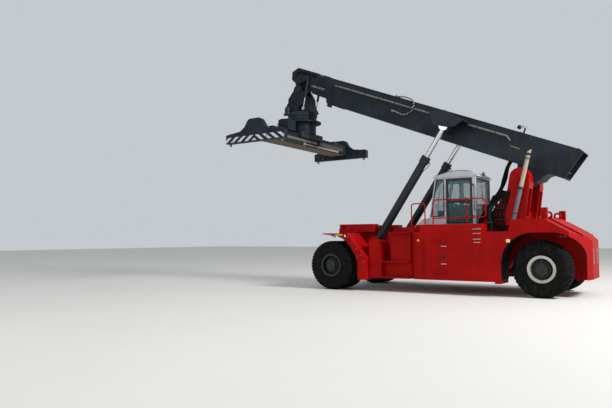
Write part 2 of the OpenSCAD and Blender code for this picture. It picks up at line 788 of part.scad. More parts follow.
// Panes that stand in the window openings
module cab_glass() {
    m = run_gap;
    color(glass) placed() {
        // Windscreen
        intersection() {
            side_plate([[-cab_front - 20, deck_z], [-cab_front - 20 - pane_t, deck_z],
                        [-screen_top - 20 - pane_t, eaves_z], [-screen_top - 20, eaves_z]],
                       [-cab_y + 70 + m, cab_y - 70 - m]);
            slab(screen_zone, [-cab_y, cab_y], [2330 + m, eaves_z - 50 - m]);
        }
        slab([-cab_back + 20, -cab_back + 20 + pane_t], [-cab_y + 90 + m, cab_y - 90 - m],
             [2700 + m, eaves_z - 60 - m]);
        both_sides() side_plate([for (p = side_window(0)) p + (p[0] < pillar_x + 10 ? [m, 0] : [-m, 0])
                                 + (p[1] < 3000 ? [0, m] : [0, -m])],
                                [cab_y - 20 - pane_t, cab_y - 20]);
        slab([cab_door_x[0] + 40 + m, cab_door_x[1] - 40 - m], [-cab_y + 20, -cab_y + 20 + pane_t],
             [2700 + m, eaves_z - 60 - m]);
    }
}

cab_pane_z = [[cab_door_z[0] + 60, 2800], [2860, cab_door_z[1] - 60]];
cab_pane_x = [cab_door_x[0] + 55, cab_door_x[1] - 55];
cab_door_t = 40;

// Framed cab door, hinged at its rear edge
module cab_door() {
    color(dark) placed() difference() {
        union() {
            slab(cab_door_x, [cab_y - cab_door_t, cab_y], cab_door_z);
            for (z = [2350, 3330]) {
                translate([cab_hinge[0], cab_hinge[1], z - 33]) cylinder(r = 16, h = 66);
                slab([cab_hinge[0], cab_door_x[0] + 50], [cab_y, cab_y + 14], [z - 33, z + 33]);
            }
            // Handle
            slab([cab_door_x[1] - 50, cab_door_x[1] - 20], [cab_y, cab_y + 35], [2700, 2860]);
        }
        for (z = cab_pane_z) slab(cab_pane_x, [cab_y - cab_door_t - 10, cab_y + 10], z);
        for (z = [2350, 3330]) translate([cab_hinge[0], cab_hinge[1], z - 70])
            cylinder(r = 8 + run_gap, h = 140);
    }
}

module cab_door_glass() {
    color(glass) placed() for (z = cab_pane_z)
        slab([cab_pane_x[0] + run_gap, cab_pane_x[1] - run_gap], [cab_y - 24, cab_y - 24 + pane_t],
             [z[0] + run_gap, z[1] - run_gap]);
}

seat_x = -cab_back + 510;
dash_x = [-cab_front - 340, -cab_front - 200];

module cab_seat() {
    color(seat_cloth) placed() {
        slab([seat_x - 240, seat_x + 260], [-250, 250], [2560, 2690]);
        side_plate([[seat_x - 240, 2690], [seat_x - 120, 2690], [seat_x - 200, 3330],
                    [seat_x - 300, 3330]], [-230, 230]);
        both_sides() slab([seat_x - 160, seat_x + 160], [270, 340], [2790, 2840]);
        both_sides() slab([seat_x - 180, seat_x - 120], [230, 270], [2700, 2830]);
    }
}

// Seat base, dashboard, steering column and wheel
module cab_console() {
    color(dark) placed() {
        slab([seat_x - 180, seat_x + 180], [-200, 200], [cab_floor, 2560]);
        slab(dash_x, [-500, 500], [cab_floor, 2560]);
        translate([dash_x[0] - 30, 0, 2450]) rotate([0, -24, 0]) {
            cylinder(r = 45, h = 420);
            translate([0, 0, 400]) rotate_extrude() translate([190, 0]) circle(r = 16, $fn = 24);
            for (a = [0, 120, 240]) rotate([0, 0, a]) translate([0, -14, 392]) cube([190, 28, 14]);
        }
    }
}

boom_top = boom_rise + boom_h;
gland_step = 24;
cheek_y = ram_y + ram_half + 15;
tail_u = -1090;
boom_front_top = 8150;
boom_front_low = 7630;

// Closed outline of the boom side, moved in by m on every edge but the ends
function boom_outline(m, ends) =
    [[tail_u - ends, boom_rise + m], [boom_front_low + ends, boom_rise + m],
     [boom_front_top + ends, boom_top - m], [tail_u - 40 - ends, boom_top - m],
     [tail_u - 210 - ends, boom_top - 45 - m]];

module boom_outer() {
    bracket = concat([[335, boom_rise + 5], [-655, boom_rise + 5], [-537, 273], [-490, 130]],
                     arc([0, 0], 270, 195, 345, 12), [[270, 182]]);
    tail_rim = [[tail_u, boom_rise - 14], [tail_u + 60, boom_rise - 14], [tail_u - 130, boom_top - 95],
                [tail_u - 30, boom_top + 14], [tail_u - 70, boom_top + 14], [tail_u - 220, boom_top - 40]];
    doubler = [[1330, boom_rise + 25], [2430, 1190], [3120, boom_top - 15], [3600, 1110],
               [4050, boom_rise + 25]];
    eye = [ram_eye_u, ram_eye_v];
    // Top edge of the bracket over the lift cylinder's eye, and the same edge from below
    crest = [[eye[0] - 560, eye[1] + 350], [eye[0] + 100, eye[1] + 460], [eye[0] + 360, eye[1] + 410],
             [eye[0] + 570, eye[1] + 260]];
    under = [[eye[0] + 530, eye[1] + 240], [eye[0] + 340, eye[1] + 365], [eye[0] + 100, eye[1] + 415],
             [eye[0] - 560, eye[1] + 310]];
    cheek = concat(crest, [[eye[0] + 350, eye[1] - 70], [eye[0] - 150, eye[1] - 20],
                           [eye[0] - 390, eye[1] + 80], [eye[0] - 560, eye[1] + 310]]);
    color(slate) placed() in_boom() {
        difference() {
            union() {
                side_plate(boom_outline(0, 0), [-boom_y, boom_y]);
                // Front collar and the rim of the tail
                side_plate([[boom_front_low - 280, boom_rise - 18], [boom_front_low, boom_rise - 18],
                            [boom_front_top, boom_top + 18], [boom_front_top - 280, boom_top + 18]],
                           [-boom_y - 16, boom_y + 16]);
                side_plate(tail_rim, [-boom_y - 14, boom_y + 14]);
            }
            side_plate(boom_outline(boom_wall, 50), [-boom_y + boom_wall, boom_y - boom_wall]);
        }
        // Pivot bracket under the boom
        difference() {
            side_plate(bracket, [-boom_y + 10, boom_y - 10]);
            side_plate([[300, 500], [250, 330], [-350, 330], [-350, 500]], [-300, 300]);
            cross_bar([0, 0], pin_r + run_gap, [-boom_y, boom_y]);
        }
        both_sides() {
            // Boss beside the lift cylinder's eye
            cross_bar(eye, 190, [boom_y, ram_y - barrel_r - gland_step - 10]);
            side_plate(doubler, [boom_y, boom_y + 30]);
            // Bracket over the eye: web from the boom side and outer cheek
            side_plate(concat(crest, under), [boom_y, cheek_y]);
            side_plate(cheek, [cheek_y, cheek_y + 40]);
            // Ledge along the side
            slab([900, 7550], [boom_y, boom_y + 45], [1005, 1040]);
        }
        // Wear pads at the mouth
        pad_in = boom_y - boom_gap - boom_wall + run_gap;
        both_sides() for (v = [boom_rise + 150, boom_top - 300])
            slab([7100, 7400], [pad_in, boom_y - boom_wall], [v, v + 150]);
        for (y = [-300, 120]) {
            slab([7100, 7400], [y, y + 180], [boom_rise + boom_wall, boom_rise + boom_wall + boom_gap - run_gap]);
            slab([7100, 7400], [y, y + 180], [boom_top - boom_wall - boom_gap + run_gap, boom_top - boom_wall]);
        }
    }
}

inner_y = boom_y - boom_wall - boom_gap;
inner_low = boom_rise + boom_wall + boom_gap;
inner_high = boom_top - boom_wall - boom_gap;
inner_wall = 20;
inner_tail = -400;
head_start = 7660;
head_low = inner_low + 113;
damper_top = [8790, 1030];
damper_y = 440;

// Inner boom, closed by a bulkhead where its head begins
module boom_inner() {
    color(slate) placed() in_boom() {
        difference() {
            side_plate([[inner_tail, inner_low], [head_start, inner_low], [head_start, inner_high],
                        [inner_tail, inner_high]], [-inner_y, inner_y]);
            slab([inner_tail - 10, head_start - inner_wall], [-inner_y + inner_wall, inner_y - inner_wall],
                 [inner_low + inner_wall, inner_high - inner_wall]);
        }
        // Wear pads at the tail
        both_sides() for (v = [inner_low + 100, inner_high - 250])
            slab([inner_tail, inner_tail + 300], [inner_y, inner_y + boom_gap - run_gap], [v, v + 150]);
        for (y = [-300, 120]) {
            slab([inner_tail, inner_tail + 300], [y, y + 180], [inner_high, inner_high + boom_gap - run_gap]);
            slab([inner_tail, inner_tail + 300], [y, y + 180], [inner_low - boom_gap + run_gap, inner_low]);
        }
    }
}

// Head welded to the inner boom's bulkhead, with its nose and pins
module boom_head() {
    nose = concat([[8300, inner_low + 250], [8300, inner_high], [8420, boom_top + 30]],
                  [[9420, boom_top + 30]],
                  arc([9360, 1030], 300, 75, -60, 10),
                  [[head_u + 230, head_v + 120]],
                  arc([head_u, head_v], 200, 0, -180, 12),
                  [[head_u - 230, head_v + 200], [8850, 1000], [8560, inner_low + 250]]);
    color(slate) placed() in_boom() {
        difference() {
            side_plate([[head_start, head_low], [8420, head_low], [8600, inner_low + 250],
                        [8600, inner_high], [head_start, inner_high]], [-inner_y, inner_y]);
            slab([head_start - 10, 8280], [-inner_y + inner_wall, inner_y - inner_wall],
                 [head_low + inner_wall, inner_high - inner_wall]);
        }
        side_plate(nose, [-200, 200]);
        both_sides() side_plate([[8300, inner_low + 300], [8300, inner_high], [8420, boom_top + 30],
                                 [9420, boom_top + 30], [9640, 1100], [9560, 830], [9420, 760],
                                 [9150, 740], [8850, 1000], [8600, inner_low + 300]],
                                [200, inner_y]);
        cross_bar([head_u, head_v], pin_r, [-345, 345]);
        both_sides() cross_bar(damper_top, 40, [inner_y, damper_y + 45]);
    }
}

// Places what hangs from the head pin
module hung() { placed() translate([head_x, 0, head_z]) children(); }

arm_y = lock_span_y / 2 - beam_t / 2;
frame_y = arm_y - frame_short;
slide_len = 2 * arm_y - slide_short;
slew_z = -1170;
plate_r = 570;
drum_r = 520;
disc_r = 720;
drum_low = -1700;
frame_top = drum_low - 110;
carriage_x = frame_x + 120;
slew_top = -900;
frame_low = frame_top - frame_h;
rail_drop = 33;
damper_foot = [-330, -770];

// Forked link between the head pin and the slewing ring
module yoke() {
    body = concat(arc([0, 0], 200, 0, 180, 12),
                  [[-380, -320], [-410, -620], [-470, -740], [-540, -860], [-540, slew_top],
                   [450, slew_top], [450, -300]]);
    window = [-370, 0];
    window_r = (window[1] - window[0]) / 2;
    color(slate) hung() {
        difference() {
            side_plate(body, [-330, 330]);
            slab([-500, 500], [-200 - 8, 200 + 8], [-280, 300]);
            cross_bar([0, 0], pin_r + run_gap, [-400, 400]);
            // Arched opening across the fork
            slab(window, [-400, 400], [slew_top - 10, -770]);
            cross_bar([window[0] + window_r, -770], window_r, [-400, 400]);
        }
        translate([0, 0, slew_top - 120]) cylinder(r = plate_r, h = 120);
        translate([0, 0, slew_z]) cylinder(r = 540, h = slew_top - 120 - slew_z);
        both_sides() {
            // Slewing motor on its lug
            translate([400, 460, slew_top - 60]) cylinder(r = 150, h = 60);
            translate([400, 460, slew_top]) cylinder(r = 105, h = 200);
            translate([400, 460, slew_top + 200]) cylinder(r = 70, h = 80);
            // Lug and boss of the damper's lower pin
            side_plate([[damper_foot[0] - 120, slew_top], [damper_foot[0] + 120, slew_top],
                        [damper_foot[0] + 58, damper_foot[1] + 15], [damper_foot[0] - 58, damper_foot[1] + 15]],
                       [330, damper_y - damper_eye / 2 - 8]);
            cross_bar(damper_foot, 60, [330, damper_y - damper_eye / 2 - 8]);
        }
    }
}

// Ring, drum and carriage that turn under the yoke
module rotator() {
    box_y = [800, 1300];
    color(slate) hung() {
        translate([0, 0, drum_low]) cylinder(r = drum_r, h = slew_z - run_gap - drum_low);
        translate([0, 0, slew_z - 115]) cylinder(r = disc_r, h = 50);
        slab([-carriage_x, carriage_x], [-750, 750], [frame_top + run_gap, drum_low]);
        for (s = [-1, 1]) mirror([s > 0 ? 0 : 1, 0, 0]) {
            slab([frame_x + 65, carriage_x], [-750, 750], [frame_top - 110, frame_top + run_gap]);
            slab([frame_x + 10, carriage_x], [-750, 750],
                 [frame_top - 110, frame_top - rail_drop - run_gap]);
        }
        // Valve box on a shelf beside the drum
        slab([-250, 250], [700, box_y[1]], [drum_low, drum_low + 15]);
        slab([-220, 220], box_y, [drum_low + 15, drum_low + 400]);
    }
}

// Two box beams side by side, each open at both ends for the arm that slides in it
module spreader_frame() {
    web = 20;
    rail_y = frame_y - 1000;
    color(slate) hung() {
        for (s = [-1, 1]) mirror([s > 0 ? 0 : 1, 0, 0]) {
            difference() {
                slab([web, frame_x], [-frame_y, frame_y], [frame_low, frame_top]);
                slab([web + frame_wall, frame_x - frame_wall], [-frame_y - 10, frame_y + 10],
                     [frame_low + frame_wall, frame_top - frame_wall]);
            }
            // Side-shift rail
            slab([frame_x, frame_x + 60], [-rail_y, rail_y], [frame_top - rail_drop, frame_top]);
            // Wear pads
            for (y = [-frame_y + 20, frame_y - 220]) {
                for (z = [[frame_low + frame_wall, frame_low + slide_gap + frame_wall - run_gap],
                          [frame_top - frame_wall - slide_gap + run_gap, frame_top - frame_wall]])
                    slab([web + 80, frame_x - 60], [y, y + 200], z);
            }
        }
        slab([-web, web], [-frame_y, frame_y], [frame_low, frame_top]);
        // Raised end blocks
        both_sides() slab([-frame_x + 50, frame_x - 50], [frame_y - 800, frame_y - 400],
                          [frame_top, frame_top + 90]);
    }
}

slide_gap = 9;
beam_low = -2350;

// End beam outline from x and z points, with the raised hump in the middle
module end_beam() {
    top = beam_low + beam_h;
    hump = concat([[-beam_x, beam_low], [beam_x, beam_low], [beam_x, top], [630, top + 80],
                   [430, top + 220], [290, top + 440], [200, top + 490]],
                  [[-200, top + 490], [-290, top + 440], [-430, top + 220], [-630, top + 80],
                   [-beam_x, top]]);
    difference() {
        side_plate(hump, [arm_y, arm_y + beam_t]);
        for (x = [-1, 1]) translate([x * lock_span_x / 2, lock_span_y / 2, beam_low - 10])
            cylinder(r = lock_r + run_gap, h = 200 + run_gap);
    }
}

// Arm with its sliding beam in one box of the frame
module spreader_arm(side) {
    x0 = 20 + frame_wall + slide_gap;
    x1 = frame_x - frame_wall - slide_gap;
    color(slate) hung() rotate([0, 0, side > 0 ? 0 : 180]) {
        end_beam();
        slab([x0, x1], [arm_y - slide_len, arm_y],
             [frame_low + frame_wall + slide_gap, frame_top - frame_wall - slide_gap]);
    }
}

lock_r = 31;

// Twistlock: stalk and oval head that turns a quarter turn
module twistlock(sx, sy) {
    color(chrome) hung() translate([sx * lock_span_x / 2, sy * lock_span_y / 2, beam_low]) {
        translate([0, 0, -30]) cylinder(r = lock_r, h = 210);
        for (k = [[0, 104], [25, 80], [45, 50]])
            translate([0, 0, -30 - k[0] - 25]) linear_extrude(25) intersection() {
                square([k[1], k[1] * 0.55], center = true);
                circle(d = k[1]);
            }
    }
}

// Places a lift cylinder along +Z from its foot pin
module along_ram(side) {
    placed() mirrored(side) translate([ram_foot[0], ram_y, ram_foot[1]]) rotate([0, -ram_lean, 0])
        children();
}

module lift_barrel(side) {
    bore_start = 350;
    color(dark) along_ram(side) difference() {
        union() {
            cross_bar([0, 0], 165, [-ram_half, ram_half]);
            cylinder(r = barrel_r, h = barrel_len);
            translate([0, 0, barrel_len - 220]) cylinder(r = barrel_r + gland_step, h = 220);
            translate([0, 0, 240]) cylinder(r = barrel_r + 14, h = 120);
        }
        translate([0, 0, bore_start]) cylinder(r = rod_r + 20, h = barrel_len - bore_start - 200);
        translate([0, 0, bore_start]) cylinder(r = rod_r + run_gap, h = barrel_len);
        cross_bar([0, 0], foot_pin_r + run_gap, [-200, 200]);
    }
}

// Rod with its eye and the eye's pin
module lift_rod(side) {
    color(chrome) along_ram(side) {
        translate([0, 0, ram_len - rod_len]) cylinder(r = rod_r, h = rod_len - 80);
        translate([0, 0, ram_len]) cross_bar([0, 0], 155, [-ram_half, ram_half]);
        translate([0, 0, ram_len]) cross_bar([0, 0], 85, [-ram_half, ram_half + 5]);
    }
}

damper_dx = (pivot_x + damper_top[0] * cos(boom_angle) - damper_top[1] * sin(boom_angle)) - head_x;
damper_dz = (pivot_z + damper_top[0] * sin(boom_angle) + damper_top[1] * cos(boom_angle)) - head_z;
damper_vec = damper_foot - [damper_dx, damper_dz];
damper_len = norm(damper_vec);
damper_turn = atan2(damper_vec[0], -damper_vec[1]);

// Places a damper along -Z from its top pin
module along_damper() {
    hung() both_sides() translate([damper_dx, damper_y, damper_dz]) rotate([0, -damper_turn, 0])
        children();
}

damper_eye = 50;
damper_barrel = 720;
damper_rod = 690;

module damper_barrels() {
    color(grey) along_damper() difference() {
        union() {
            cross_bar([0, 0], 70, [-damper_eye / 2, damper_eye / 2]);
            translate([0, 0, -damper_barrel]) cylinder(r = 45, h = damper_barrel - 50);
        }
        cross_bar([0, 0], 40 + run_gap, [-60, 60]);
        translate([0, 0, -damper_barrel - 10]) cylinder(r = 22 + run_gap, h = damper_barrel - 70);
    }
}

module damper_rods() {
    color(chrome) along_damper() {
        translate([0, 0, -damper_len + 50]) cylinder(r = 22, h = damper_rod - 50);
        translate([0, 0, -damper_len]) cross_bar([0, 0], 64, [-damper_eye / 2, damper_eye / 2]);
        translate([0, 0, -damper_len]) cross_bar([0, 0], 34, [-damper_eye / 2, damper_eye / 2 + 15]);
    }
}

main_frame();
boom_tower();
rear_fenders();
counterweight();
rear_hood();
side_tank_left();
side_tank_right();
steps();
deck();
handrails();
mudguards();
drive_axle();
steer_axle();
engine_block();
driveline();
exhaust_stack();
lamps();
cab_shell();
cab_roof();
cab_glass();
cab_seat();
cab_console();
cab_door();
cab_door_glass();
service_door();
boom_outer();
boom_inner();
boom_head();
yoke();
rotator();
spreader_frame();
spreader_arm(1);  // spreader_arm_left
spreader_arm(-1);  // spreader_arm_right
twistlock(1, 1);  // twistlock_1
twistlock(-1, 1);  // twistlock_2
twistlock(1, -1);  // twistlock_3
twistlock(-1, -1);  // twistlock_4
lift_barrel(1);  // lift_barrel_left
lift_barrel(-1);  // lift_barrel_right
lift_rod(1);  // lift_rod_left
lift_rod(-1);  // lift_rod_right
damper_barrels();
damper_rods();
knuckle(1);  // knuckle_left
knuckle(-1);  // knuckle_right
tyres_front(1);  // tyres_front_left
rims_front(1);  // rims_front_left
tyres_front(-1);  // tyres_front_right
rims_front(-1);  // rims_front_right
tyre_rear(1);  // tyre_rear_left
rim_rear(1);  // rim_rear_left
tyre_rear(-1);  // tyre_rear_right
rim_rear(-1);  // rim_rear_right
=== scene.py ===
"""Looks of the reach stacker: surfaces, small pieces, camera and light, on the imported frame.

Metres, +X forward, +Y to the machine's left, +Z up, origin on the ground under the middle."""

import json
import math

import bmesh
import bpy
import numpy as np
from mathutils import Matrix, Vector


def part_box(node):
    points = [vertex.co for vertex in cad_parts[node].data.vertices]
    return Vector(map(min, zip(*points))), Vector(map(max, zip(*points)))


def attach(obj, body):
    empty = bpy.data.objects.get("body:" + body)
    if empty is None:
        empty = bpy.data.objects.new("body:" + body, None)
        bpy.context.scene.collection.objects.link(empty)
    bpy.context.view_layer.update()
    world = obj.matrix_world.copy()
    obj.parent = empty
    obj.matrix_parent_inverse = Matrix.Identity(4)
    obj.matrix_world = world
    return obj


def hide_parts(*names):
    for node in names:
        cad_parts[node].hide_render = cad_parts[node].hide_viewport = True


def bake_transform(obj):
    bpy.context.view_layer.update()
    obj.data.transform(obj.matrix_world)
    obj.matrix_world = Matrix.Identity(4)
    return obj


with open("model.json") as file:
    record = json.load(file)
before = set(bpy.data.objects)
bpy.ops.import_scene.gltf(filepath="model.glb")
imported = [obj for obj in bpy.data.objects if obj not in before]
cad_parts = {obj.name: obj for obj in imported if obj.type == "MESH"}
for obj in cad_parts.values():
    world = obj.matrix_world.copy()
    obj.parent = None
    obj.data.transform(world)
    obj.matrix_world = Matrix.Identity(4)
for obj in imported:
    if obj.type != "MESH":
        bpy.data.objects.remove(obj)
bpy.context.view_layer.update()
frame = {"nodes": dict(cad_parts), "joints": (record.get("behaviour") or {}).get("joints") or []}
nodes = frame["nodes"]


# Places taken from the frame
def low(name):
    """The corner of a node's box that is lowest on every axis."""
    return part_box(name)[0]


def high(name):
    """The corner of a node's box that is highest on every axis."""
    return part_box(name)[1]


WHEEL_R = high("tyre_rear_left").z / 2
REAR_AXLE_X = (low("tyre_rear_left").x + high("tyre_rear_left").x) / 2
FRONT_AXLE_X = (low("tyres_front_left").x + high("tyres_front_left").x) / 2
TYRE_W = high("tyre_rear_left").y - low("tyre_rear_left").y
REAR_WHEEL_Y = (low("tyre_rear_left").y + high("tyre_rear_left").y) / 2
OUTER_TWIN_Y = high("tyres_front_left").y - TYRE_W / 2
INNER_TWIN_Y = low("tyres_front_left").y + TYRE_W / 2
BOOM_ANGLE = math.radians(22.2)
JOINTS = {joint["name"]: joint for joint in frame["joints"]}
PIVOT = Vector(JOINTS["boom_lift"]["pos_m"])
HEAD = Vector(JOINTS["yoke_swing"]["pos_m"])
SIDES = ((1, "left"), (-1, "right"))
# Directions
AHEAD, BEHIND, LEFT, UP = (1, 0, 0), (-1, 0, 0), (0, 1, 0), (0, 0, 1)


def at(x, y=0.0, z=0.0):
    """A place given from the drive axle, the middle plane and the ground."""
    return (FRONT_AXLE_X + x, y, z)


def from_side(points):
    """An outline in x and z, with x given from the drive axle."""
    return [(FRONT_AXLE_X + x, z) for x, z in points]


def on_boom(u, v, y=0.0):
    """A place u along the boom and v square to it: pivot + u (cos a, sin a) + v (-sin a, cos a)."""
    c, s = math.cos(BOOM_ANGLE), math.sin(BOOM_ANGLE)
    return (PIVOT.x + u * c - v * s, y, PIVOT.z + u * s + v * c)


def hung(x, y, z):
    """A place given from the head pin, for what hangs from it."""
    return (HEAD.x + x, y, HEAD.z + z)


# Camera at the photograph's viewpoint; the lens is in pixels of a picture this wide
LENS_PX = 581.8
PHOTO_W = 612
SENSOR_MM = 36
CAM_FROM_AXLE = (-9.979, 18.645, 1.686)
CAM_YAW = math.radians(-56.548)
CAM_PITCH = math.radians(3.380)
CAM_ROLL = math.radians(-0.256)
FAR_CLIP = 500


def camera():
    """Camera axes from yaw y, pitch p and roll: forward is (cos y cos p, sin y cos p, sin p), the level right
    is (sin y, -cos y, 0), and roll turns right and up about forward."""
    level_reach = math.cos(CAM_PITCH)
    forward = Vector((math.cos(CAM_YAW) * level_reach, math.sin(CAM_YAW) * level_reach, math.sin(CAM_PITCH)))
    level = Vector((math.sin(CAM_YAW), -math.cos(CAM_YAW), 0))
    top = level.cross(forward)
    right = level * math.cos(CAM_ROLL) + top * math.sin(CAM_ROLL)
    up = top * math.cos(CAM_ROLL) - level * math.sin(CAM_ROLL)
    data = bpy.data.cameras.new("camera")
    data.sensor_width = SENSOR_MM
    data.lens = SENSOR_MM * LENS_PX / PHOTO_W
    data.clip_end = FAR_CLIP
    eye = bpy.data.objects.new("camera", data)
    turn = Matrix((right, up, -forward)).transposed().to_4x4()
    eye.matrix_world = Matrix.Translation(at(*CAM_FROM_AXLE)) @ turn
    bpy.context.scene.collection.objects.link(eye)
    bpy.context.scene.camera = eye


camera()


# Colours and materials
def linear(code, alpha=1.0):
    """An sRGB hex colour as linear light: c / 12.92 up to 0.04045, else ((c + 0.055) / 1.055) ^ 2.4."""
    parts = [int(code[i:i + 2], 16) / 255 for i in (1, 3, 5)]
    return tuple(c / 12.92 if c <= 0.04045 else ((c + 0.055) / 1.055) ** 2.4 for c in parts) + (alpha,)


# What many nodes share: a smooth step, and a mix of the colours on sockets 6 and 7 that comes out at socket 2
SMOOTH = {"interpolation_type": "SMOOTHSTEP"}
BLENDED = {"data_type": "RGBA", "output": 2}


def add(tree, kind, inputs=(), output=0, **settings):
    """Adds a shader node with its settings. Inputs are values or other nodes' sockets, in order or by name.

    Gives the output asked for, or all of them for None."""
    made = tree.nodes.new("ShaderNode" + kind)
    for name, value in settings.items():
        setattr(made, name, value)
    for name, value in (inputs.items() if isinstance(inputs, dict) else enumerate(inputs)):
        if isinstance(value, bpy.types.NodeSocket):
            tree.links.new(value, made.inputs[name])
        else:
            made.inputs[name].default_value = value
    return made.outputs if output is None else made.outputs[output]


def new_material(name):
    """An empty material, its tree, and the object's own coordinates."""
    mat = bpy.data.materials.new(name)
    mat.use_nodes = True
    tree = mat.node_tree
    tree.nodes.clear()
    return mat, tree, add(tree, "TexCoord", output="Object")


def finished(mat, inputs):
    """The material with its surface shader, whose inputs are values or sockets."""
    tree = mat.node_tree
    add(tree, "OutputMaterial", {"Surface": add(tree, "BsdfPrincipled", inputs)}, None)
    return mat


def mm(size):
    """The scale of a pattern whose features are about this many millimetres apart."""
    return 1000.0 / size


def cloudy(place, size, detail=4.0, rough=0.55):
    """Inputs of a noise with features of a size in millimetres."""
    return {"Vector": place, "Scale": mm(size), "Detail": detail, "Roughness": rough}


def edges(tree, radius):
    """1 near a sharp edge and 0 on flat faces, from how far a bevelled normal leans off the true one."""
    soft = add(tree, "Bevel", (radius,), samples=3)
    true = add(tree, "NewGeometry", output="Normal")
    dot = add(tree, "VectorMath", (soft, true), "Value", operation="DOT_PRODUCT")
    return add(tree, "MapRange", (dot, 0.995, 0.90), **SMOOTH)


def upward(tree):
    """How far a surface faces up, from -1 to 1."""
    return add(tree, "SeparateXYZ", (add(tree, "NewGeometry", output="Normal"),), "Z")


def paint(name, colour, faded, dust="#8d8072", dust_share=0.35, wear="#3a3532", rough=0.42, streaks=0.0,
          streak_colour="#6b5648", second=None, gloss=0.22, coat=0.05):
    """Machine paint over steel: faded clouds, road dust low down and on tops, run marks and worn edges.

    second is a colour and a function that gives the share of the surface it covers."""
    mat, tree, place = new_material(name)
    # Clouds where the sun has faded it
    clouds = add(tree, "TexNoise", cloudy(place, 900, 5))
    fine = add(tree, "TexNoise", cloudy(place, 60, 6, 0.7))
    sunned = add(tree, "MapRange", (clouds, 0.40, 0.68), **SMOOTH)
    base = add(tree, "Mix", {"Factor": sunned, 6: linear(colour), 7: linear(faded)}, **BLENDED)
    if second:
        # The second colour, worn through in patches
        patches = add(tree, "TexNoise", cloudy(place, 70, 6, 0.75))
        kept = add(tree, "MapRange", (patches, 0.30, 0.42, 0.55, 1.0), **SMOOTH)
        share = add(tree, "Math", (second[1](tree, place), kept), operation="MULTIPLY")
        base = add(tree, "Mix", {"Factor": share, 6: base, 7: linear(second[0])}, **BLENDED)
    if streaks:
        # Run marks, drawn out downwards
        drawn_down = add(tree, "Mapping", {"Vector": place, "Scale": (1.0, 1.0, 0.06)})
        runs = add(tree, "TexNoise", cloudy(drawn_down, 130, 4, 0.6))
        runs = add(tree, "MapRange", (runs, 0.50, 0.72), **SMOOTH)
        share = add(tree, "Math", (runs, streaks), operation="MULTIPLY")
        base = add(tree, "Mix", {"Factor": share, 6: base, 7: linear(streak_colour)}, **BLENDED)
    # Road dust below a ragged line and on faces that look up
    height = add(tree, "SeparateXYZ", (place,), "Z")
    ragged = add(tree, "Math", (fine, 0.9, height), operation="MULTIPLY_ADD")
    low_down = add(tree, "MapRange", (ragged, 1.9, 0.6), **SMOOTH)
    tops = add(tree, "MapRange", (upward(tree), 0.6, 0.98), **SMOOTH)
    settled = add(tree, "Math", (low_down, tops), operation="MAXIMUM")
    grit = add(tree, "MapRange", (fine, 0.35, 0.75), **SMOOTH)
    dirt = add(tree, "Math", (settled, grit), operation="MULTIPLY")
    share = add(tree, "Math", (dirt, dust_share), operation="MULTIPLY")
    base = add(tree, "Mix", {"Factor": share, 6: base, 7: linear(dust)}, **BLENDED)
    # Chips along the edges
    flakes = add(tree, "MapRange", (add(tree, "TexNoise", cloudy(place, 45, 5, 0.7)), 0.52, 0.62), **SMOOTH)
    chips = add(tree, "Math", (edges(tree, 0.006), flakes), operation="MULTIPLY")
    share = add(tree, "Math", (chips, 0.7), operation="MULTIPLY")
    base = add(tree, "Mix", {"Factor": share, 6: base, 7: linear(wear)}, **BLENDED)
    dulled = add(tree, "Math", (dirt, 0.35, rough), operation="MULTIPLY_ADD")
    mottled = add(tree, "MapRange", (fine, 0.3, 0.8), **SMOOTH)
    shade = add(tree, "Math", (mottled, 0.12, dulled), operation="MULTIPLY_ADD", use_clamp=True)
    # Orange peel, drawn coarser than real so that it shows, and the slow waves of welded plate
    grain = add(tree, "TexNoise", cloudy(place, 9, 2, 0.5))
    waves = add(tree, "TexNoise", cloudy(place, 700, 2, 0.4))
    under = add(tree, "Bump", {"Height": grain, "Distance": 0.0003, "Strength": 1.0})
    skin = add(tree, "Bump", {"Height": waves, "Distance": 0.004, "Strength": 1.0, "Normal": under})
    return finished(mat, {"Base Color": base, "Roughness": shade, "Specular IOR Level": gloss,
                          "Coat Weight": coat, "Coat Roughness": 0.25, "Normal": skin})


def disc_mask(radius, centre_x, centre_z):
    """Share 1 within a radius of a wheel's axis: smooth step of sqrt((x - cx)^2 + (z - cz)^2)."""
    def share(tree, place):
        """The mask's nodes in one material."""
        x, _, z = add(tree, "SeparateXYZ", (place,), None)
        across = add(tree, "Math", (x, centre_x), operation="SUBTRACT")
        upright = add(tree, "Math", (z, centre_z), operation="SUBTRACT")
        across = add(tree, "Math", (across, 2), operation="POWER")
        upright = add(tree, "Math", (upright, 2), operation="POWER")
        away = add(tree, "Math", (add(tree, "Math", (across, upright), operation="ADD"),), operation="SQRT")
        return add(tree, "MapRange", (away, radius + 0.003, radius - 0.003), **SMOOTH)
    return share


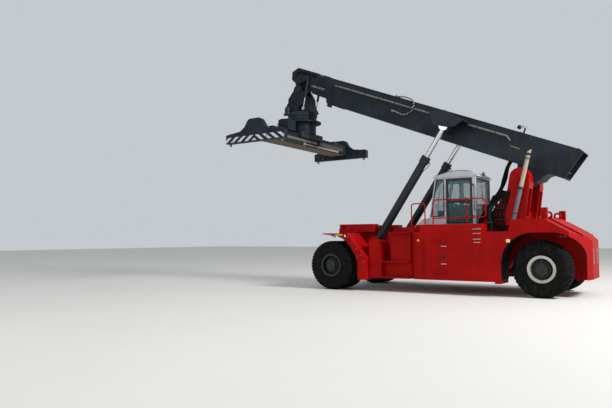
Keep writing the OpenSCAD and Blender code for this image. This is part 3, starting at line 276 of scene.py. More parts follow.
def chevron_mask(centre_x, face_y, low_z, band, pitch, lean):
    """Share 1 on stripes that lean to the middle: fraction of (|x - cx| + lean (z - z0)) / pitch below 0.48,
    only past the outer face and within the band."""
    def share(tree, place):
        """The mask's nodes in one material."""
        x, y, z = add(tree, "SeparateXYZ", (place,), None)
        rise = add(tree, "Math", (z, low_z), operation="SUBTRACT")
        reach = add(tree, "Math", (x, centre_x), operation="SUBTRACT")
        reach = add(tree, "Math", (reach,), operation="ABSOLUTE")
        slanted = add(tree, "Math", (rise, lean, reach), operation="MULTIPLY_ADD")
        phase = add(tree, "Math", (slanted, pitch), operation="DIVIDE")
        phase = add(tree, "Math", (phase,), operation="FRACT")
        stripes = add(tree, "Math", (phase, 0.48), operation="LESS_THAN")
        above = add(tree, "Math", (rise, band[0]), operation="GREATER_THAN")
        below = add(tree, "Math", (rise, band[1]), operation="LESS_THAN")
        inside = add(tree, "Math", (above, below), operation="MULTIPLY")
        outward = add(tree, "Math", (y,), operation="ABSOLUTE")
        outer = add(tree, "Math", (outward, face_y), operation="GREATER_THAN")
        shown = add(tree, "Math", (stripes, inside), operation="MULTIPLY")
        return add(tree, "Math", (shown, outer), operation="MULTIPLY")
    return share


def under_mask():
    """Share 0.8 on faces that look down: smooth step of n.z from -0.5 to -0.8."""
    def share(tree, _):
        """The mask's nodes in one material."""
        down = add(tree, "MapRange", (upward(tree), -0.5, -0.8), **SMOOTH)
        return add(tree, "Math", (down, 0.8), operation="MULTIPLY")
    return share


def rubber(name, colour="#0b0c0d", dust="#565049"):
    """Moulded tyre rubber: dust in clouds over near-black, with a fine grain."""
    mat, tree, place = new_material(name)
    clouds = add(tree, "TexNoise", cloudy(place, 160, 6, 0.65))
    dusty = add(tree, "MapRange", (clouds, 0.45, 0.80, 0.0, 0.22), **SMOOTH)
    fine = add(tree, "TexNoise", cloudy(place, 14, 4, 0.6))
    return finished(mat, {
        "Base Color": add(tree, "Mix", {"Factor": dusty, 6: linear(colour), 7: linear(dust)}, **BLENDED),
        "Roughness": add(tree, "MapRange", (clouds, 0.3, 0.8, 0.72, 0.92), **SMOOTH),
        "Specular IOR Level": 0.12,
        "Normal": add(tree, "Bump", {"Height": fine, "Distance": 0.0012, "Strength": 1.0})})


def metal(name, colour, rough, streak=(1.0, 1.0, 0.04), tint="#4a4038", tint_share=0.2, metallic=1.0,
          below=None):
    """Bare metal with drawn-out tool marks and stains; below is a height and the colour under it."""
    mat, tree, place = new_material(name)
    drawn = add(tree, "Mapping", {"Vector": place, "Scale": streak})
    lines = add(tree, "TexNoise", cloudy(drawn, 6, 3, 0.6))
    stains = add(tree, "TexNoise", cloudy(place, 180, 5, 0.6))
    stained = add(tree, "MapRange", (stains, 0.48, 0.75), **SMOOTH)
    share = add(tree, "Math", (stained, tint_share), operation="MULTIPLY")
    base = add(tree, "Mix", {"Factor": share, 6: linear(colour), 7: linear(tint)}, **BLENDED)
    if below:
        height = add(tree, "SeparateXYZ", (place,), "Z")
        share = add(tree, "MapRange", (height, below[0] + 0.01, below[0] - 0.01), **SMOOTH)
        base = add(tree, "Mix", {"Factor": share, 6: base, 7: linear(below[1])}, **BLENDED)
    return finished(mat, {
        "Base Color": base,
        "Metallic": metallic,
        "Roughness": add(tree, "MapRange", (stains, 0.3, 0.8, rough, min(1.0, rough + 0.25)), **SMOOTH),
        "Normal": add(tree, "Bump", {"Height": lines, "Distance": 0.0002, "Strength": 1.0})})


def cab_pane(name, colour="#2f6f70"):
    """Tinted safety glass: a thin sheet that mirrors the sky and shows the cab behind it, dusty in clouds."""
    mat, tree, place = new_material(name)
    film = add(tree, "TexNoise", cloudy(place, 700, 3, 0.5))
    dusty = add(tree, "MapRange", (film, 0.45, 0.8, 0.0, 0.15), **SMOOTH)
    return finished(mat, {
        "Base Color": add(tree, "Mix", {"Factor": dusty, 6: linear(colour), 7: linear("#9fb6b4")}, **BLENDED),
        "Alpha": 0.27,
        "Roughness": add(tree, "MapRange", (dusty, 0.0, 0.5, 0.04, 0.2), **SMOOTH),
        "Specular IOR Level": 0.6,
        "Coat Weight": 0.3,
        "Coat Roughness": 0.03})


def plastic(name, colour, rough=0.6, pebble=2.5, rubbed=0.25, gloss=0.5):
    """Moulded plastic with a pebble grain, its size in millimetres, and rubbed patches."""
    mat, tree, place = new_material(name)
    clouds = add(tree, "TexNoise", cloudy(place, 200))
    pale = add(tree, "MapRange", (clouds, 0.4, 0.75, 0.0, rubbed), **SMOOTH)
    pebbles = add(tree, "TexNoise", cloudy(place, pebble, 2))
    return finished(mat, {
        "Base Color": add(tree, "Mix", {"Factor": pale, 6: linear(colour), 7: linear("#5b5a58")}, **BLENDED),
        "Roughness": add(tree, "MapRange", (clouds, 0.3, 0.8, rough, rough + 0.2), **SMOOTH),
        "Specular IOR Level": gloss,
        "Normal": add(tree, "Bump", {"Height": pebbles, "Distance": 0.0004, "Strength": 1.0})})


def cloth(name, colour="#2a2d31"):
    """Woven seat cloth: sin(2 pi y / pitch) sin(2 pi (x + z) / pitch) for threads 4 mm apart, coarser than
    real so that they show, and a worn nap."""
    mat, tree, place = new_material(name)
    x, y, z = add(tree, "SeparateXYZ", (place,), None)
    turns = 2 * math.pi * mm(4)
    warp = add(tree, "Math", (add(tree, "Math", (y, turns), operation="MULTIPLY"),), operation="SINE")
    along = add(tree, "Math", (x, z), operation="ADD")
    weft = add(tree, "Math", (add(tree, "Math", (along, turns), operation="MULTIPLY"),), operation="SINE")
    threads = add(tree, "Math", (warp, weft), operation="MULTIPLY")
    nap = add(tree, "MapRange", (add(tree, "TexNoise", cloudy(place, 90)), 0.35, 0.75, 0.0, 0.4), **SMOOTH)
    return finished(mat, {
        "Base Color": add(tree, "Mix", {"Factor": nap, 6: linear(colour), 7: linear("#4c5057")}, **BLENDED),
        "Roughness": 0.92,
        "Sheen Weight": 0.3,
        "Normal": add(tree, "Bump", {"Height": threads, "Distance": 0.0006, "Strength": 1.0})})


def banded(name, colour, band_colour, pitch):
    """Rubber hose in a spiral guard: bands where sin(2 pi (x + z) / pitch) is positive, dulled by dust."""
    mat, tree, place = new_material(name)
    x, _, z = add(tree, "SeparateXYZ", (place,), None)
    along = add(tree, "Math", (x, z), operation="ADD")
    turns = add(tree, "Math", (along, 2 * math.pi / pitch), operation="MULTIPLY")
    wave = add(tree, "Math", (turns,), operation="SINE")
    worn = add(tree, "MapRange", (add(tree, "TexNoise", cloudy(place, 30)), 0.3, 0.6, 0.45, 0.9), **SMOOTH)
    bands = add(tree, "MapRange", (wave, 0.1, 0.4), **SMOOTH)
    share = add(tree, "Math", (bands, worn), operation="MULTIPLY")
    base = add(tree, "Mix", {"Factor": share, 6: linear(colour), 7: linear(band_colour)}, **BLENDED)
    return finished(mat, {
        "Base Color": base,
        "Roughness": 0.6,
        "Normal": add(tree, "Bump", {"Height": wave, "Distance": 0.002, "Strength": 1.0})})


def lens(name, colour, glow=0.05):
    """Moulded lamp lens with level ribs 14 mm apart, sin(2 pi z / pitch), and a faint glow."""
    mat, tree, place = new_material(name)
    height = add(tree, "SeparateXYZ", (place,), "Z")
    turns = add(tree, "Math", (height, 2 * math.pi * mm(14)), operation="MULTIPLY")
    ribs = add(tree, "Math", (turns,), operation="SINE")
    pale = add(tree, "MapRange", (add(tree, "TexNoise", cloudy(place, 60, 3)), 0.4, 0.8, 0.0, 0.08), **SMOOTH)
    return finished(mat, {
        "Base Color": add(tree, "Mix", {"Factor": pale, 6: linear(colour), 7: linear("#f2e8e0")}, **BLENDED),
        "Roughness": 0.3,
        "Coat Weight": 0.12,
        "Emission Color": linear(colour),
        "Emission Strength": glow,
        "Normal": add(tree, "Bump", {"Height": ribs, "Distance": 0.0015, "Strength": 1.0})})


# Machine red: satin, darker in clouds, dusty on its tops
RED = paint("red_machine_paint", "#960506", "#a80a06", dust="#6d3127", dust_share=0.14, streaks=0.25,
            streak_colour="#3e0606", rough=0.42, gloss=0.07, coat=0.02)
# Boom slate: nearly matt, with brownish run marks from grease and dust
SLATE_FINISH = {"colour": "#1b232a", "faded": "#242e37", "dust": "#54483d", "wear": "#5d4d40", "rough": 0.5,
                "streaks": 0.4, "streak_colour": "#372f29", "gloss": 0.14}
SLATE = paint("slate_boom_paint", dust_share=0.4, **SLATE_FINISH)
# Spreader frame: the same slate, with rusty undersides that rub on loads
UNDER = paint("slate_paint_rusty_below", dust_share=0.5, second=("#6b5238", under_mask()), **SLATE_FINISH)
# Near-black paint of cylinders, door frame and front rims
DARK = paint("dark_steel_paint", "#12161a", "#1a1f23", dust="#4d463e", dust_share=0.35, wear="#4c4640",
             rough=0.42, gloss=0.35)
# Rough axle castings, covered with road dust
IRON = paint("axle_casting_paint", "#17191b", "#24211f", dust="#5d5247", dust_share=0.7, rough=0.62)
# Light grey cab, a little glossy
CAB = paint("cab_paint", "#aeb2b8", "#bcc0c5", dust="#8a8378", dust_share=0.3, wear="#6f6b66", rough=0.34,
            gloss=0.4, coat=0.15)
# Exhaust: heated steel above its clamp, grey paint below
EXHAUST = metal("heated_exhaust_steel", "#b3a696", 0.42, (0.05, 0.05, 1.0), "#7a6452", 0.35, 0.45,
                (3.090, "#697274"))
# Cylinder rods: bright chrome that mirrors the sky
CHROME = metal("rod_chrome", "#c8ccd0", 0.10, (0.05, 0.05, 1.0), "#7b756c", 0.1)
# Bolts and pins: dull worn steel
STEEL = metal("worn_steel", "#7c7c79", 0.4, (1.0, 1.0, 0.2), "#4a3a2e", 0.5, 0.8)
# Tyres: matt near-black with pale road dust
TYRE = rubber("tyre_rubber")
# Hoses: the same black, hardly rubbed, with a low sheen
HOSE = plastic("hose_rubber", "#0b0c0d", 0.55, 4, rubbed=0.08, gloss=0.15)
# Hose in a pale spiral guard, banded light and dark
BANDED = banded("spiral_guarded_hose", "#101112", "#bcb6ae", 0.085)
# Green-blue cab glass, dark where the cab behind it is dark
GLASS = cab_pane("tinted_cab_glass")
# Cab trim: grey-black, grained and rubbed pale where it is touched
TRIM = plastic("black_moulded_plastic", "#17191b", 0.55)
# Seat: dark woven cloth with a soft nap
CLOTH = cloth("seat_cloth")
# Pipes: pale zinc, dulled by stains
PIPE = metal("galvanised_pipe", "#a39c90", 0.4, (1.0, 1.0, 0.2), "#5d5348", 0.5, 0.5)
# Spreader cover: brown paint gone chalky
BROWN = paint("weathered_brown_cover", "#46403e", "#554d4a", dust="#7d7474", dust_share=0.5, wear="#2c2622",
              rough=0.6, streaks=0.4, streak_colour="#332a24")
# Treads and decks: red paint rubbed down and dusty
TREAD_PLATE = paint("red_tread_plate", "#8f1210", "#9c1811", dust="#7f6f60", dust_share=0.6, rough=0.55)
# Lamps and reflectors: ribbed moulded lenses, faintly lit so that their colour holds in shade
RED_LENS = lens("red_lamp_lens", "#8c0a0e")
AMBER_LENS = lens("amber_lamp_lens", "#c8682c")
CLEAR_LENS = lens("clear_lamp_lens", "#dfe3e4")
YELLOW = lens("yellow_reflector", "#b9c22a")
MARKER_LENS = lens("marker_lamp_lens", "#ddd98f")
ORANGE_LENS = lens("orange_reflector", "#dd8f12")
# Rubber round the panes, the darkest line of the cab
SEAL = plastic("black_window_seal", "#0c0d0e", 0.5, 3)
# Display on the console: near-black glass that mirrors the cab
SCREEN = cab_pane("dark_display", "#10161c")
# Rear rims: chalky off-white paint with a dark hub
REAR_HUB = disc_mask(0.302, REAR_AXLE_X, WHEEL_R)
REAR_RIM = paint("rear_wheel_paint", "#b3b0a6", "#c6c3b9", dust="#77695a", dust_share=0.5, wear="#5b4a3c",
                 rough=0.5, streaks=0.3, streak_colour="#7d6a55", second=("#1b2025", REAR_HUB))
# End beams: pale stripes on the outer face only, in a band above the beam's lower edge
BEAM_LOW = -2.350
BEAM_FACE_Y = 3.024
STRIPES = chevron_mask(HEAD.x, BEAM_FACE_Y, HEAD.z + BEAM_LOW, band=(0.03, 0.215), pitch=0.32, lean=1.35)
BEAM = paint("striped_beam_paint", dust_share=0.4, second=("#d3d3de", STRIPES), **SLATE_FINISH)


def dress(material, *names):
    """Gives carried-over nodes their surface."""
    for name in names:
        mesh = nodes[name].data
        mesh.materials.clear()
        mesh.materials.append(material)


dress(RED, "main_frame", "boom_tower", "rear_fenders", "counterweight", "rear_hood", "side_tank_left",
      "side_tank_right", "steps", "deck", "handrails", "mudguards", "service_door")
dress(SLATE, "boom_outer", "boom_inner", "boom_head", "yoke", "rotator")
dress(UNDER, "spreader_frame")
dress(BEAM, "spreader_arm_left", "spreader_arm_right")
dress(RED_LENS, "lamps")
dress(DARK, "engine_block", "driveline", "lift_barrel_left", "lift_barrel_right", "rims_front_left",
      "rims_front_right", "cab_door", "damper_barrels")
dress(IRON, "drive_axle", "steer_axle", "knuckle_left", "knuckle_right")
dress(CAB, "cab_shell", "cab_roof")
dress(EXHAUST, "exhaust_stack")
dress(GLASS, "cab_glass", "cab_door_glass")
dress(CHROME, "lift_rod_left", "lift_rod_right", "damper_rods")
dress(STEEL, "twistlock_1", "twistlock_2", "twistlock_3", "twistlock_4")
dress(TYRE, "tyres_front_left", "tyres_front_right", "tyre_rear_left", "tyre_rear_right")
dress(REAR_RIM, "rim_rear_left", "rim_rear_right")
dress(CLOTH, "cab_seat")
dress(TRIM, "cab_console")


# Building blocks: every solid is a loft through closed rings of points, as (points, faces)
SHARP = math.radians(35)


def loft(rings):
    """Closed skin through rings of equal length, shape (k, n, 3): quads between rings, a cap on each end."""
    rings = np.asarray(rings, float)
    k, n, _ = rings.shape
    a, b = np.meshgrid(np.arange(k - 1), np.arange(n), indexing="ij")
    c = (b + 1) % n
    quads = np.stack([a * n + b, a * n + c, (a + 1) * n + c, (a + 1) * n + b], -1).reshape(-1, 4)
    caps = [list(range(n - 1, -1, -1)), list(range((k - 1) * n, k * n))]
    return rings.reshape(-1, 3), quads.tolist() + caps


def inset(outline, by):
    """A closed outline moved inward: each corner goes along the sum of its two edge normals."""
    p = np.asarray(outline, float)
    before, after = p - np.roll(p, 1, 0), np.roll(p, -1, 0) - p
    before /= np.linalg.norm(before, axis=1)[:, None]
    after /= np.linalg.norm(after, axis=1)[:, None]
    area = np.sum(p[:, 0] * np.roll(p[:, 1], -1) - np.roll(p[:, 0], -1) * p[:, 1])
    side = 1.0 if area > 0 else -1.0
    normal = side * np.stack([-before[:, 1] - after[:, 1], before[:, 0] + after[:, 0]], -1)
    share = 1.0 + np.sum(before * after, axis=1)
    return p + by * normal / np.maximum(share, 0.4)[:, None]


ORDER = {"x": (2, 0, 1), "y": (0, 2, 1), "z": (0, 1, 2)}


def plate(outline, near, far, axis="y", bevel=0.003):
    """A plate with bevelled rims: an outline in the other two axes, drawn from near to far along one axis."""
    outer, inner = np.asarray(outline, float), inset(outline, bevel)
    step = bevel if far > near else -bevel
    rings = []
    for shape, place in ((inner, near), (outer, near + step), (outer, far - step), (inner, far)):
        rings.append(np.column_stack([shape, np.full(len(shape), place)]))
    return loft(np.array(rings)[:, :, ORDER[axis]])


def block(low_corner, high_corner, bevel=0.004):
    """A box with rounded upright corners and bevelled rims."""
    (x0, y0, z0), (x1, y1, z1) = low_corner, high_corner
    r = min(bevel * 2, (x1 - x0) / 3, (y1 - y0) / 3)
    turn = np.radians(np.arange(0, 91, 30))
    corner = np.stack([np.cos(turn), np.sin(turn)], -1) * r
    spots = ((x1 - r, y1 - r, 0), (x0 + r, y1 - r, 90), (x0 + r, y0 + r, 180), (x1 - r, y0 + r, 270))
    outline = []
    for cx, cy, angle in spots:
        c, s = math.cos(math.radians(angle)), math.sin(math.radians(angle))
        outline.append(corner @ np.array([[c, s], [-s, c]]) + (cx, cy))
    return plate(np.concatenate(outline), z0, z1, "z", min(bevel, (z1 - z0) / 3))


def across(axis):
    """A unit vector along an axis, and two square to it and to each other."""
    w = Vector(axis).normalized()
    u = w.cross(Vector(UP) if abs(w.z) < 0.9 else Vector(AHEAD)).normalized()
    return np.array(w), np.array(u), np.array(w.cross(u))


def turned(profile, centre, axis, sides=24):
    """A turned body: circles of radius r at distance d along the axis, from a table of (r, d)."""
    w, u, v = across(axis)
    angle = np.linspace(0, 2 * np.pi, sides, endpoint=False)
    circle = np.cos(angle)[:, None] * u + np.sin(angle)[:, None] * v
    return loft([np.array(centre) + r * circle + d * w for r, d in profile])


def hoop(profile, centre, axis, sides=32):
    """An open ring from a closed table of (r, d): circles of radius r at distance d, the last joined to the
    first."""
    points = turned(profile, centre, axis, sides)[0]
    k = len(profile)
    a, b = np.meshgrid(np.arange(k), np.arange(sides), indexing="ij")
    c, d = (b + 1) % sides, (a + 1) % k
    quads = np.stack([a * sides + b, a * sides + c, d * sides + c, d * sides + b], -1).reshape(-1, 4)
    return points, quads.tolist()


def bolt(centre, axis, size=0.024, height=0.016):
    """A hexagon head on its washer; size is over the flats."""
    r = size / math.sqrt(3)
    head = [(r * 0.9, 0.004), (r, 0.006), (r, height - 0.003), (r * 0.85, height)]
    return [turned([(r * 1.35, 0), (r * 1.35, 0.004)], centre, axis, 12), turned(head, centre, axis, 6)]


def bolts_at(spots, axis, size=0.024, height=0.016):
    """A bolt at each place."""
    return [solid for spot in spots for solid in bolt(spot, axis, size, height)]


def ring_of(centre, radius, count, axis="z"):
    """Places round a circle in the plane square to an axis."""
    out = []
    for a in np.arange(count) * 2 * np.pi / count:
        c, s = radius * math.cos(a), radius * math.sin(a)
        out.append({"x": (centre[0], centre[1] + c, centre[2] + s),
                    "y": (centre[0] + c, centre[1], centre[2] + s),
                    "z": (centre[0] + c, centre[1] + s, centre[2])}[axis])
    return out


def smooth_path(points, spacing=0.03):
    """A Catmull-Rom curve through points, sampled about every given distance."""
    p = np.asarray(points, float)
    p = np.vstack([2 * p[0] - p[1], p, 2 * p[-1] - p[-2]])
    out = []
    for i in range(1, len(p) - 2):
        n = max(2, int(np.linalg.norm(p[i + 1] - p[i]) / spacing))
        t = np.linspace(0, 1, n, endpoint=False)[:, None]
        out.append(0.5 * (2 * p[i] + (p[i + 1] - p[i - 1]) * t
                          + (2 * p[i - 1] - 5 * p[i] + 4 * p[i + 1] - p[i + 2]) * t ** 2
                          + (3 * p[i] - p[i - 1] - 3 * p[i + 1] + p[i + 2]) * t ** 3))
    return np.vstack(out + [p[-2:-1]])


def pipe(points, radius, sides=8, spacing=0.03, ribs=0.0, rib_pitch=0.034):
    """A round tube along a smooth path; ribs swell it in waves: r (1 + ribs sin(2 pi s / pitch))."""
    path = smooth_path(points, spacing)
    tangent = np.gradient(path, axis=0)
    tangent /= np.linalg.norm(tangent, axis=1)[:, None]
    start = across(tangent[0])[1]
    carried = []
    for t in tangent:
        start = start - t * np.dot(start, t)
        start = start / np.linalg.norm(start)
        carried.append(start)
    u = np.array(carried)
    v = np.cross(tangent, u)
    run = np.concatenate([[0], np.cumsum(np.linalg.norm(np.diff(path, axis=0), axis=1))])
    r = radius * (1 + ribs * np.sin(2 * np.pi * run / rib_pitch))
    angle = np.linspace(0, 2 * np.pi, sides, endpoint=False)
    ring = np.cos(angle)[None, :, None] * u[:, None] + np.sin(angle)[None, :, None] * v[:, None]
    return loft(path[:, None] + r[:, None, None] * ring)


def mirrored(solids):
    """The same solids on the other side of the middle plane."""
    return [(points * (1, -1, 1), [list(reversed(f)) for f in faces]) for points, faces in solids]


def both(solids):
    """Solids of the left side, and the same on the right."""
    return solids + mirrored(solids)


def moved(solids, x=0.0, y=0.0, z=0.0):
    """The same solids somewhere else."""
    return [(points + (x, y, z), faces) for points, faces in solids]


def rect(x0, x1, z0, z1):
    """The four corners of a rectangle."""
    return [(x0, z0), (x1, z0), (x1, z1), (x0, z1)]


def band(outline, out, width, near, far, axis="y", bevel=0.002):
    """A flat frame round an outline: from out metres outside it, width metres wide, one bar for each edge."""
    outer = inset(outline, -out)
    inner = inset(outline, width - out)
    n = len(outer)
    return [plate([outer[i], outer[(i + 1) % n], inner[(i + 1) % n], inner[i]], near, far, axis, bevel)
            for i in range(n)]


def boom_box(u, v, y, bevel=0.004):
    """A block square to the boom between ranges of u, v and y."""
    corners = [on_boom(*corner) for corner in rect(*u, *v)]
    return plate([(x, z) for x, _, z in corners], y[0], y[1], "y", bevel)


def piece(name, body, material, solids, replaced=()):
    """One mesh object from a list of solids, riding on a body, with sharp edges kept and faces turned out.

    A piece given no body is left unattached."""
    points, faces, count = [], [], 0
    for p, f in solids:
        points.append(p)
        faces.extend([[i + count for i in face] for face in f])
        count += len(p)
    mesh = bpy.data.meshes.new(name)
    mesh.from_pydata(np.vstack(points), [], faces)
    work = bmesh.new()
    work.from_mesh(mesh)
    bmesh.ops.recalc_face_normals(work, faces=work.faces)
    work.to_mesh(mesh)
    work.free()
    mesh.polygons.foreach_set("use_smooth", np.ones(len(mesh.polygons), bool))
    mesh.set_sharp_from_angle(angle=SHARP)
    mesh.materials.append(material)
    made = bpy.data.objects.new(name, mesh)
    bpy.context.scene.collection.objects.link(made)
    if body:
        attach(made, body)
    if replaced:
        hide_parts(*replaced)
    return made


# Tyres with moulded lugs, staggered on the two sides
BEAD_R = 0.3303
LUGS = 44
LUG_DEPTH = 0.028
LUG_STEPS = [0, 0.05, 0.25, 0.45, 0.55, 0.60, 0.775, 0.95]
LUG_SLANT = 1.1
GAP_MIDDLE, GAP_HALF, GAP_SLOPE = 0.78, 0.16, 0.04
SHOULDER_R, SHOULDER_FADE = 0.70, 0.05
CENTRE_RIB, RIB_FADE = 0.035, 0.01


def tyre_section():
    """Radius and sideways place along a tyre's skin from bead to bead: the half section and its mirror."""
    w, r = TYRE_W / 2, WHEEL_R
    half = np.array([(BEAD_R, w - 0.035), (0.386, w - 0.035), (0.398, w - 0.024), (0.425, w - 0.014),
                     (0.432, w - 0.006), (0.442, w - 0.006), (0.448, w - 0.010), (0.50, w - 0.003), (0.56, w),
                     (0.62, w), (0.655, w - 0.002), (0.66, w), (0.668, w), (0.674, w - 0.004),
                     (SHOULDER_R, w - 0.008), (0.73, w - 0.015), (0.755, w - 0.028), (0.775, w - 0.040),
                     (0.79, w - 0.058), (r - 0.002, w - 0.080), (r, w - 0.11), (r, w - 0.15), (r, w - 0.19),
                     (r, 0.040), (r - 0.001, 0.030), (r - 0.022, 0.022), (r - 0.022, 0.0)])
    return np.vstack([half, half[-2::-1] * (1, -1)])


def tyre(x, y):
    """A tyre as a surface of revolution. Over the shoulders each point moves in by depth * g, where g is 1 in
    the gaps between lugs and 0 on them, from the fraction of turn + (0.5 on one side) - slant |off|."""
    section = tyre_section()
    lugs = np.concatenate([LUG_STEPS] * LUGS) + np.repeat(np.arange(LUGS), len(LUG_STEPS))
    rad, off = section[:, 0], section[:, 1]
    beyond_rib = np.clip((np.abs(off) - CENTRE_RIB) / RIB_FADE, 0, 1)
    shoulder = np.clip((rad - SHOULDER_R) / SHOULDER_FADE, 0, 1) * beyond_rib
    turn = lugs[:, None] + 0.5 * (off[None, :] < 0) - LUG_SLANT * np.abs(off)[None, :]
    from_middle = np.abs(np.mod(turn, 1.0) - GAP_MIDDLE)
    gap = np.clip((GAP_HALF - from_middle) / GAP_SLOPE, 0, 1) * shoulder[None, :]
    tangent = np.gradient(section, axis=0)
    tangent /= np.linalg.norm(tangent, axis=1)[:, None]
    cut_rad = rad[None, :] - LUG_DEPTH * gap * np.abs(tangent[:, 1])[None, :]
    cut_off = off[None, :] - 0.5 * LUG_DEPTH * gap * (np.sign(off) * np.abs(tangent[:, 0]))[None, :]
    angle = (lugs * 2 * np.pi / LUGS)[:, None]
    grid = np.stack([x + cut_rad * np.cos(angle), y + cut_off + 0 * angle, WHEEL_R + cut_rad * np.sin(angle)],
                    axis=-1)
    n, m, _ = grid.shape
    a, b = np.meshgrid(np.arange(n), np.arange(m), indexing="ij")
    c, d = (a + 1) % n, (b + 1) % m
    quads = np.stack([a * m + b, a * m + d, c * m + d, c * m + b], -1).reshape(-1, 4)
    return grid.reshape(-1, 3), quads.tolist()


for sign, side in SIDES:
    piece("lugged_tyres_front_" + side, "front_wheels_" + side, TYRE,
          [tyre(FRONT_AXLE_X, sign * OUTER_TWIN_Y), tyre(FRONT_AXLE_X, sign * INNER_TWIN_Y)],
          ["tyres_front_" + side])
    piece("lugged_tyre_rear_" + side, "rear_wheel_" + side, TYRE,
          [tyre(REAR_AXLE_X, sign * REAR_WHEEL_Y)], ["tyre_rear_" + side])


# Wheel nuts with their studs, and hub caps
NUT_CIRCLE = 0.200
NUTS = 12
FRONT_LEDGE, REAR_LEDGE = 0.170, 0.140
CAP_STAND = 0.06


def wheel_trim(x, face_y, sign):
    """Nuts with their studs on the hub's ledge and a domed cap with a groove; face_y is the ledge's place."""
    out = []
    for spot in ring_of((x, face_y, WHEEL_R), NUT_CIRCLE, NUTS, "y"):
        out += bolt(spot, (0, sign, 0), 0.036, 0.028)
        out.append(turned([(0.009, 0.02), (0.009, 0.042), (0.007, 0.045)], spot, (0, sign, 0), 10))
    cap = [(0.120, 0.0), (0.120, 0.006), (0.112, 0.012), (0.070, 0.018), (0.066, 0.014), (0.030, 0.014)]
    out.append(turned(cap, (x, face_y + sign * CAP_STAND, WHEEL_R), (0, sign, 0), 40))
    return out


for sign, side in SIDES:
    piece("front_wheel_nuts_" + side, "front_wheels_" + side, DARK,
          wheel_trim(FRONT_AXLE_X, sign * (OUTER_TWIN_Y + FRONT_LEDGE), sign))
    piece("rear_wheel_nuts_" + side, "rear_wheel_" + side, DARK,
          wheel_trim(REAR_AXLE_X, sign * (REAR_WHEEL_Y + REAR_LEDGE), sign))

# Sizes of the plates that the small pieces sit on, in metres from the drive axle or along the boom
BOOM_Y, BOOM_LOW, BOOM_TOP = 0.440, 0.375, 1.295
BODY_Y, CAB_Y = 1.850, 0.780
HOOD_TOP, DECK_Z, TANK_TOP = 2.240, 2.090, 1.860
TAIL = REAR_AXLE_X - FRONT_AXLE_X - 1.170
PIVOT_X = PIVOT.x - FRONT_AXLE_X
COLUMN_OUT = 0.980

# Boom: two pipes on the ledge of each side, bent round the lift cylinder's bracket, and their clamps
LEDGE_V = 1.052
CLAMP_GAP = 0.61
BRACKET_U = (2.1, 3.35)


def ledge_pipe(lift):
    """A pipe at a height on the ledge; past the bracket it comes closer to the ledge by a tenth."""
    pressed = LEDGE_V + (lift - 1.056) * 0.9
    path = [(7.50, lift), (5.0, lift), (3.45, lift), (3.32, lift - 0.01), (3.0, pressed), (2.2, pressed),
            (2.0, lift), (1.0, lift), (0.90, lift - 0.02), (0.78, 0.96)]
    return pipe([on_boom(u, v, BOOM_Y + 0.014) for u, v in path], 0.0105, spacing=0.12)


piece("boom_side_pipes", "boom", PIPE, both([ledge_pipe(1.056), ledge_pipe(1.082)]))
clamps = []
for u in np.arange(1.3, 7.4, CLAMP_GAP):
    if not BRACKET_U[0] < u < BRACKET_U[1]:
        clamps.append(boom_box((u - 0.011, u + 0.011), (1.040, 1.100), (BOOM_Y, BOOM_Y + 0.029)))
        clamps += bolt(on_boom(u, 1.069, BOOM_Y + 0.027), LEFT, 0.014, 0.008)
piece("boom_pipe_clamps", "boom", DARK, both(clamps))

# Boom: the stiff hose bow on its left, from a fitting on the top flange round to one on the side.
# Its points are u and v along the boom, and y, and are held in single precision, as Blender holds places
LOOP = [(4.93, 1.31, 0.36), (4.80, 1.345, 0.41), (4.56, 1.36, 0.455), (4.34, 1.32, 0.485), (4.24, 1.22, 0.50),
        (4.22, 1.10, 0.505), (4.25, 0.97, 0.505), (4.33, 0.85, 0.50), (4.48, 0.775, 0.495),
        (4.66, 0.775, 0.485), (4.82, 0.80, 0.465)]
LOOP_R = 0.024
LOOP_STEP = 0.006
loop = [tuple(Vector(on_boom(*point))) for point in LOOP]
bow = piece("boom_hose_loop", "boom", BANDED, [pipe(loop, LOOP_R, 12, LOOP_STEP, ribs=0.16)])
FERRULE = [(0.018, -0.04), (0.026, -0.035), (0.026, 0.02), (0.030, 0.022), (0.030, 0.05), (0.016, 0.055)]
fittings = [turned(FERRULE, loop[0], (0.93, -0.1, 0.37), 6),
            turned(FERRULE, loop[-1], (0.93, -0.15, 0.37), 6),
            boom_box((4.84, 4.98), (0.765, 0.835), (BOOM_Y, BOOM_Y + 0.05), 0.008),
            boom_box((4.93, 5.07), (BOOM_TOP, BOOM_TOP + 0.045), (0.31, 0.40), 0.008)]
piece("boom_hose_fittings", "boom", STEEL, fittings)

# Boom: bolts along the slanted collar, on its wear pads and on the lift bracket
COLLAR_U, COLLAR_RUN = 7.58, 0.52
SIDE_RISE = BOOM_TOP - BOOM_LOW
collar = []
for share in np.linspace(0.06, 0.94, 9):
    u = COLLAR_U + COLLAR_RUN * share
    v = BOOM_LOW + SIDE_RISE * share
    for back in (0, 0.19):
        collar += bolt(on_boom(u - back, v, BOOM_Y + 0.016), LEFT, 0.026, 0.018)
for u, v in ((7.2, 0.52), (7.34, 0.52), (7.2, 1.13), (7.34, 1.13)):
    collar.append(turned([(0.05, 0), (0.05, 0.008), (0.042, 0.012)], on_boom(u, v, BOOM_Y), LEFT, 20))
    collar += bolt(on_boom(u, v, BOOM_Y + 0.012), LEFT, 0.04, 0.02)
for u in np.linspace(2.62, 3.42, 5):
    collar += bolt(on_boom(u, 0.46, BOOM_Y + 0.03), LEFT, 0.026, 0.016)
piece("boom_collar_bolts", "boom", DARK, both(collar))
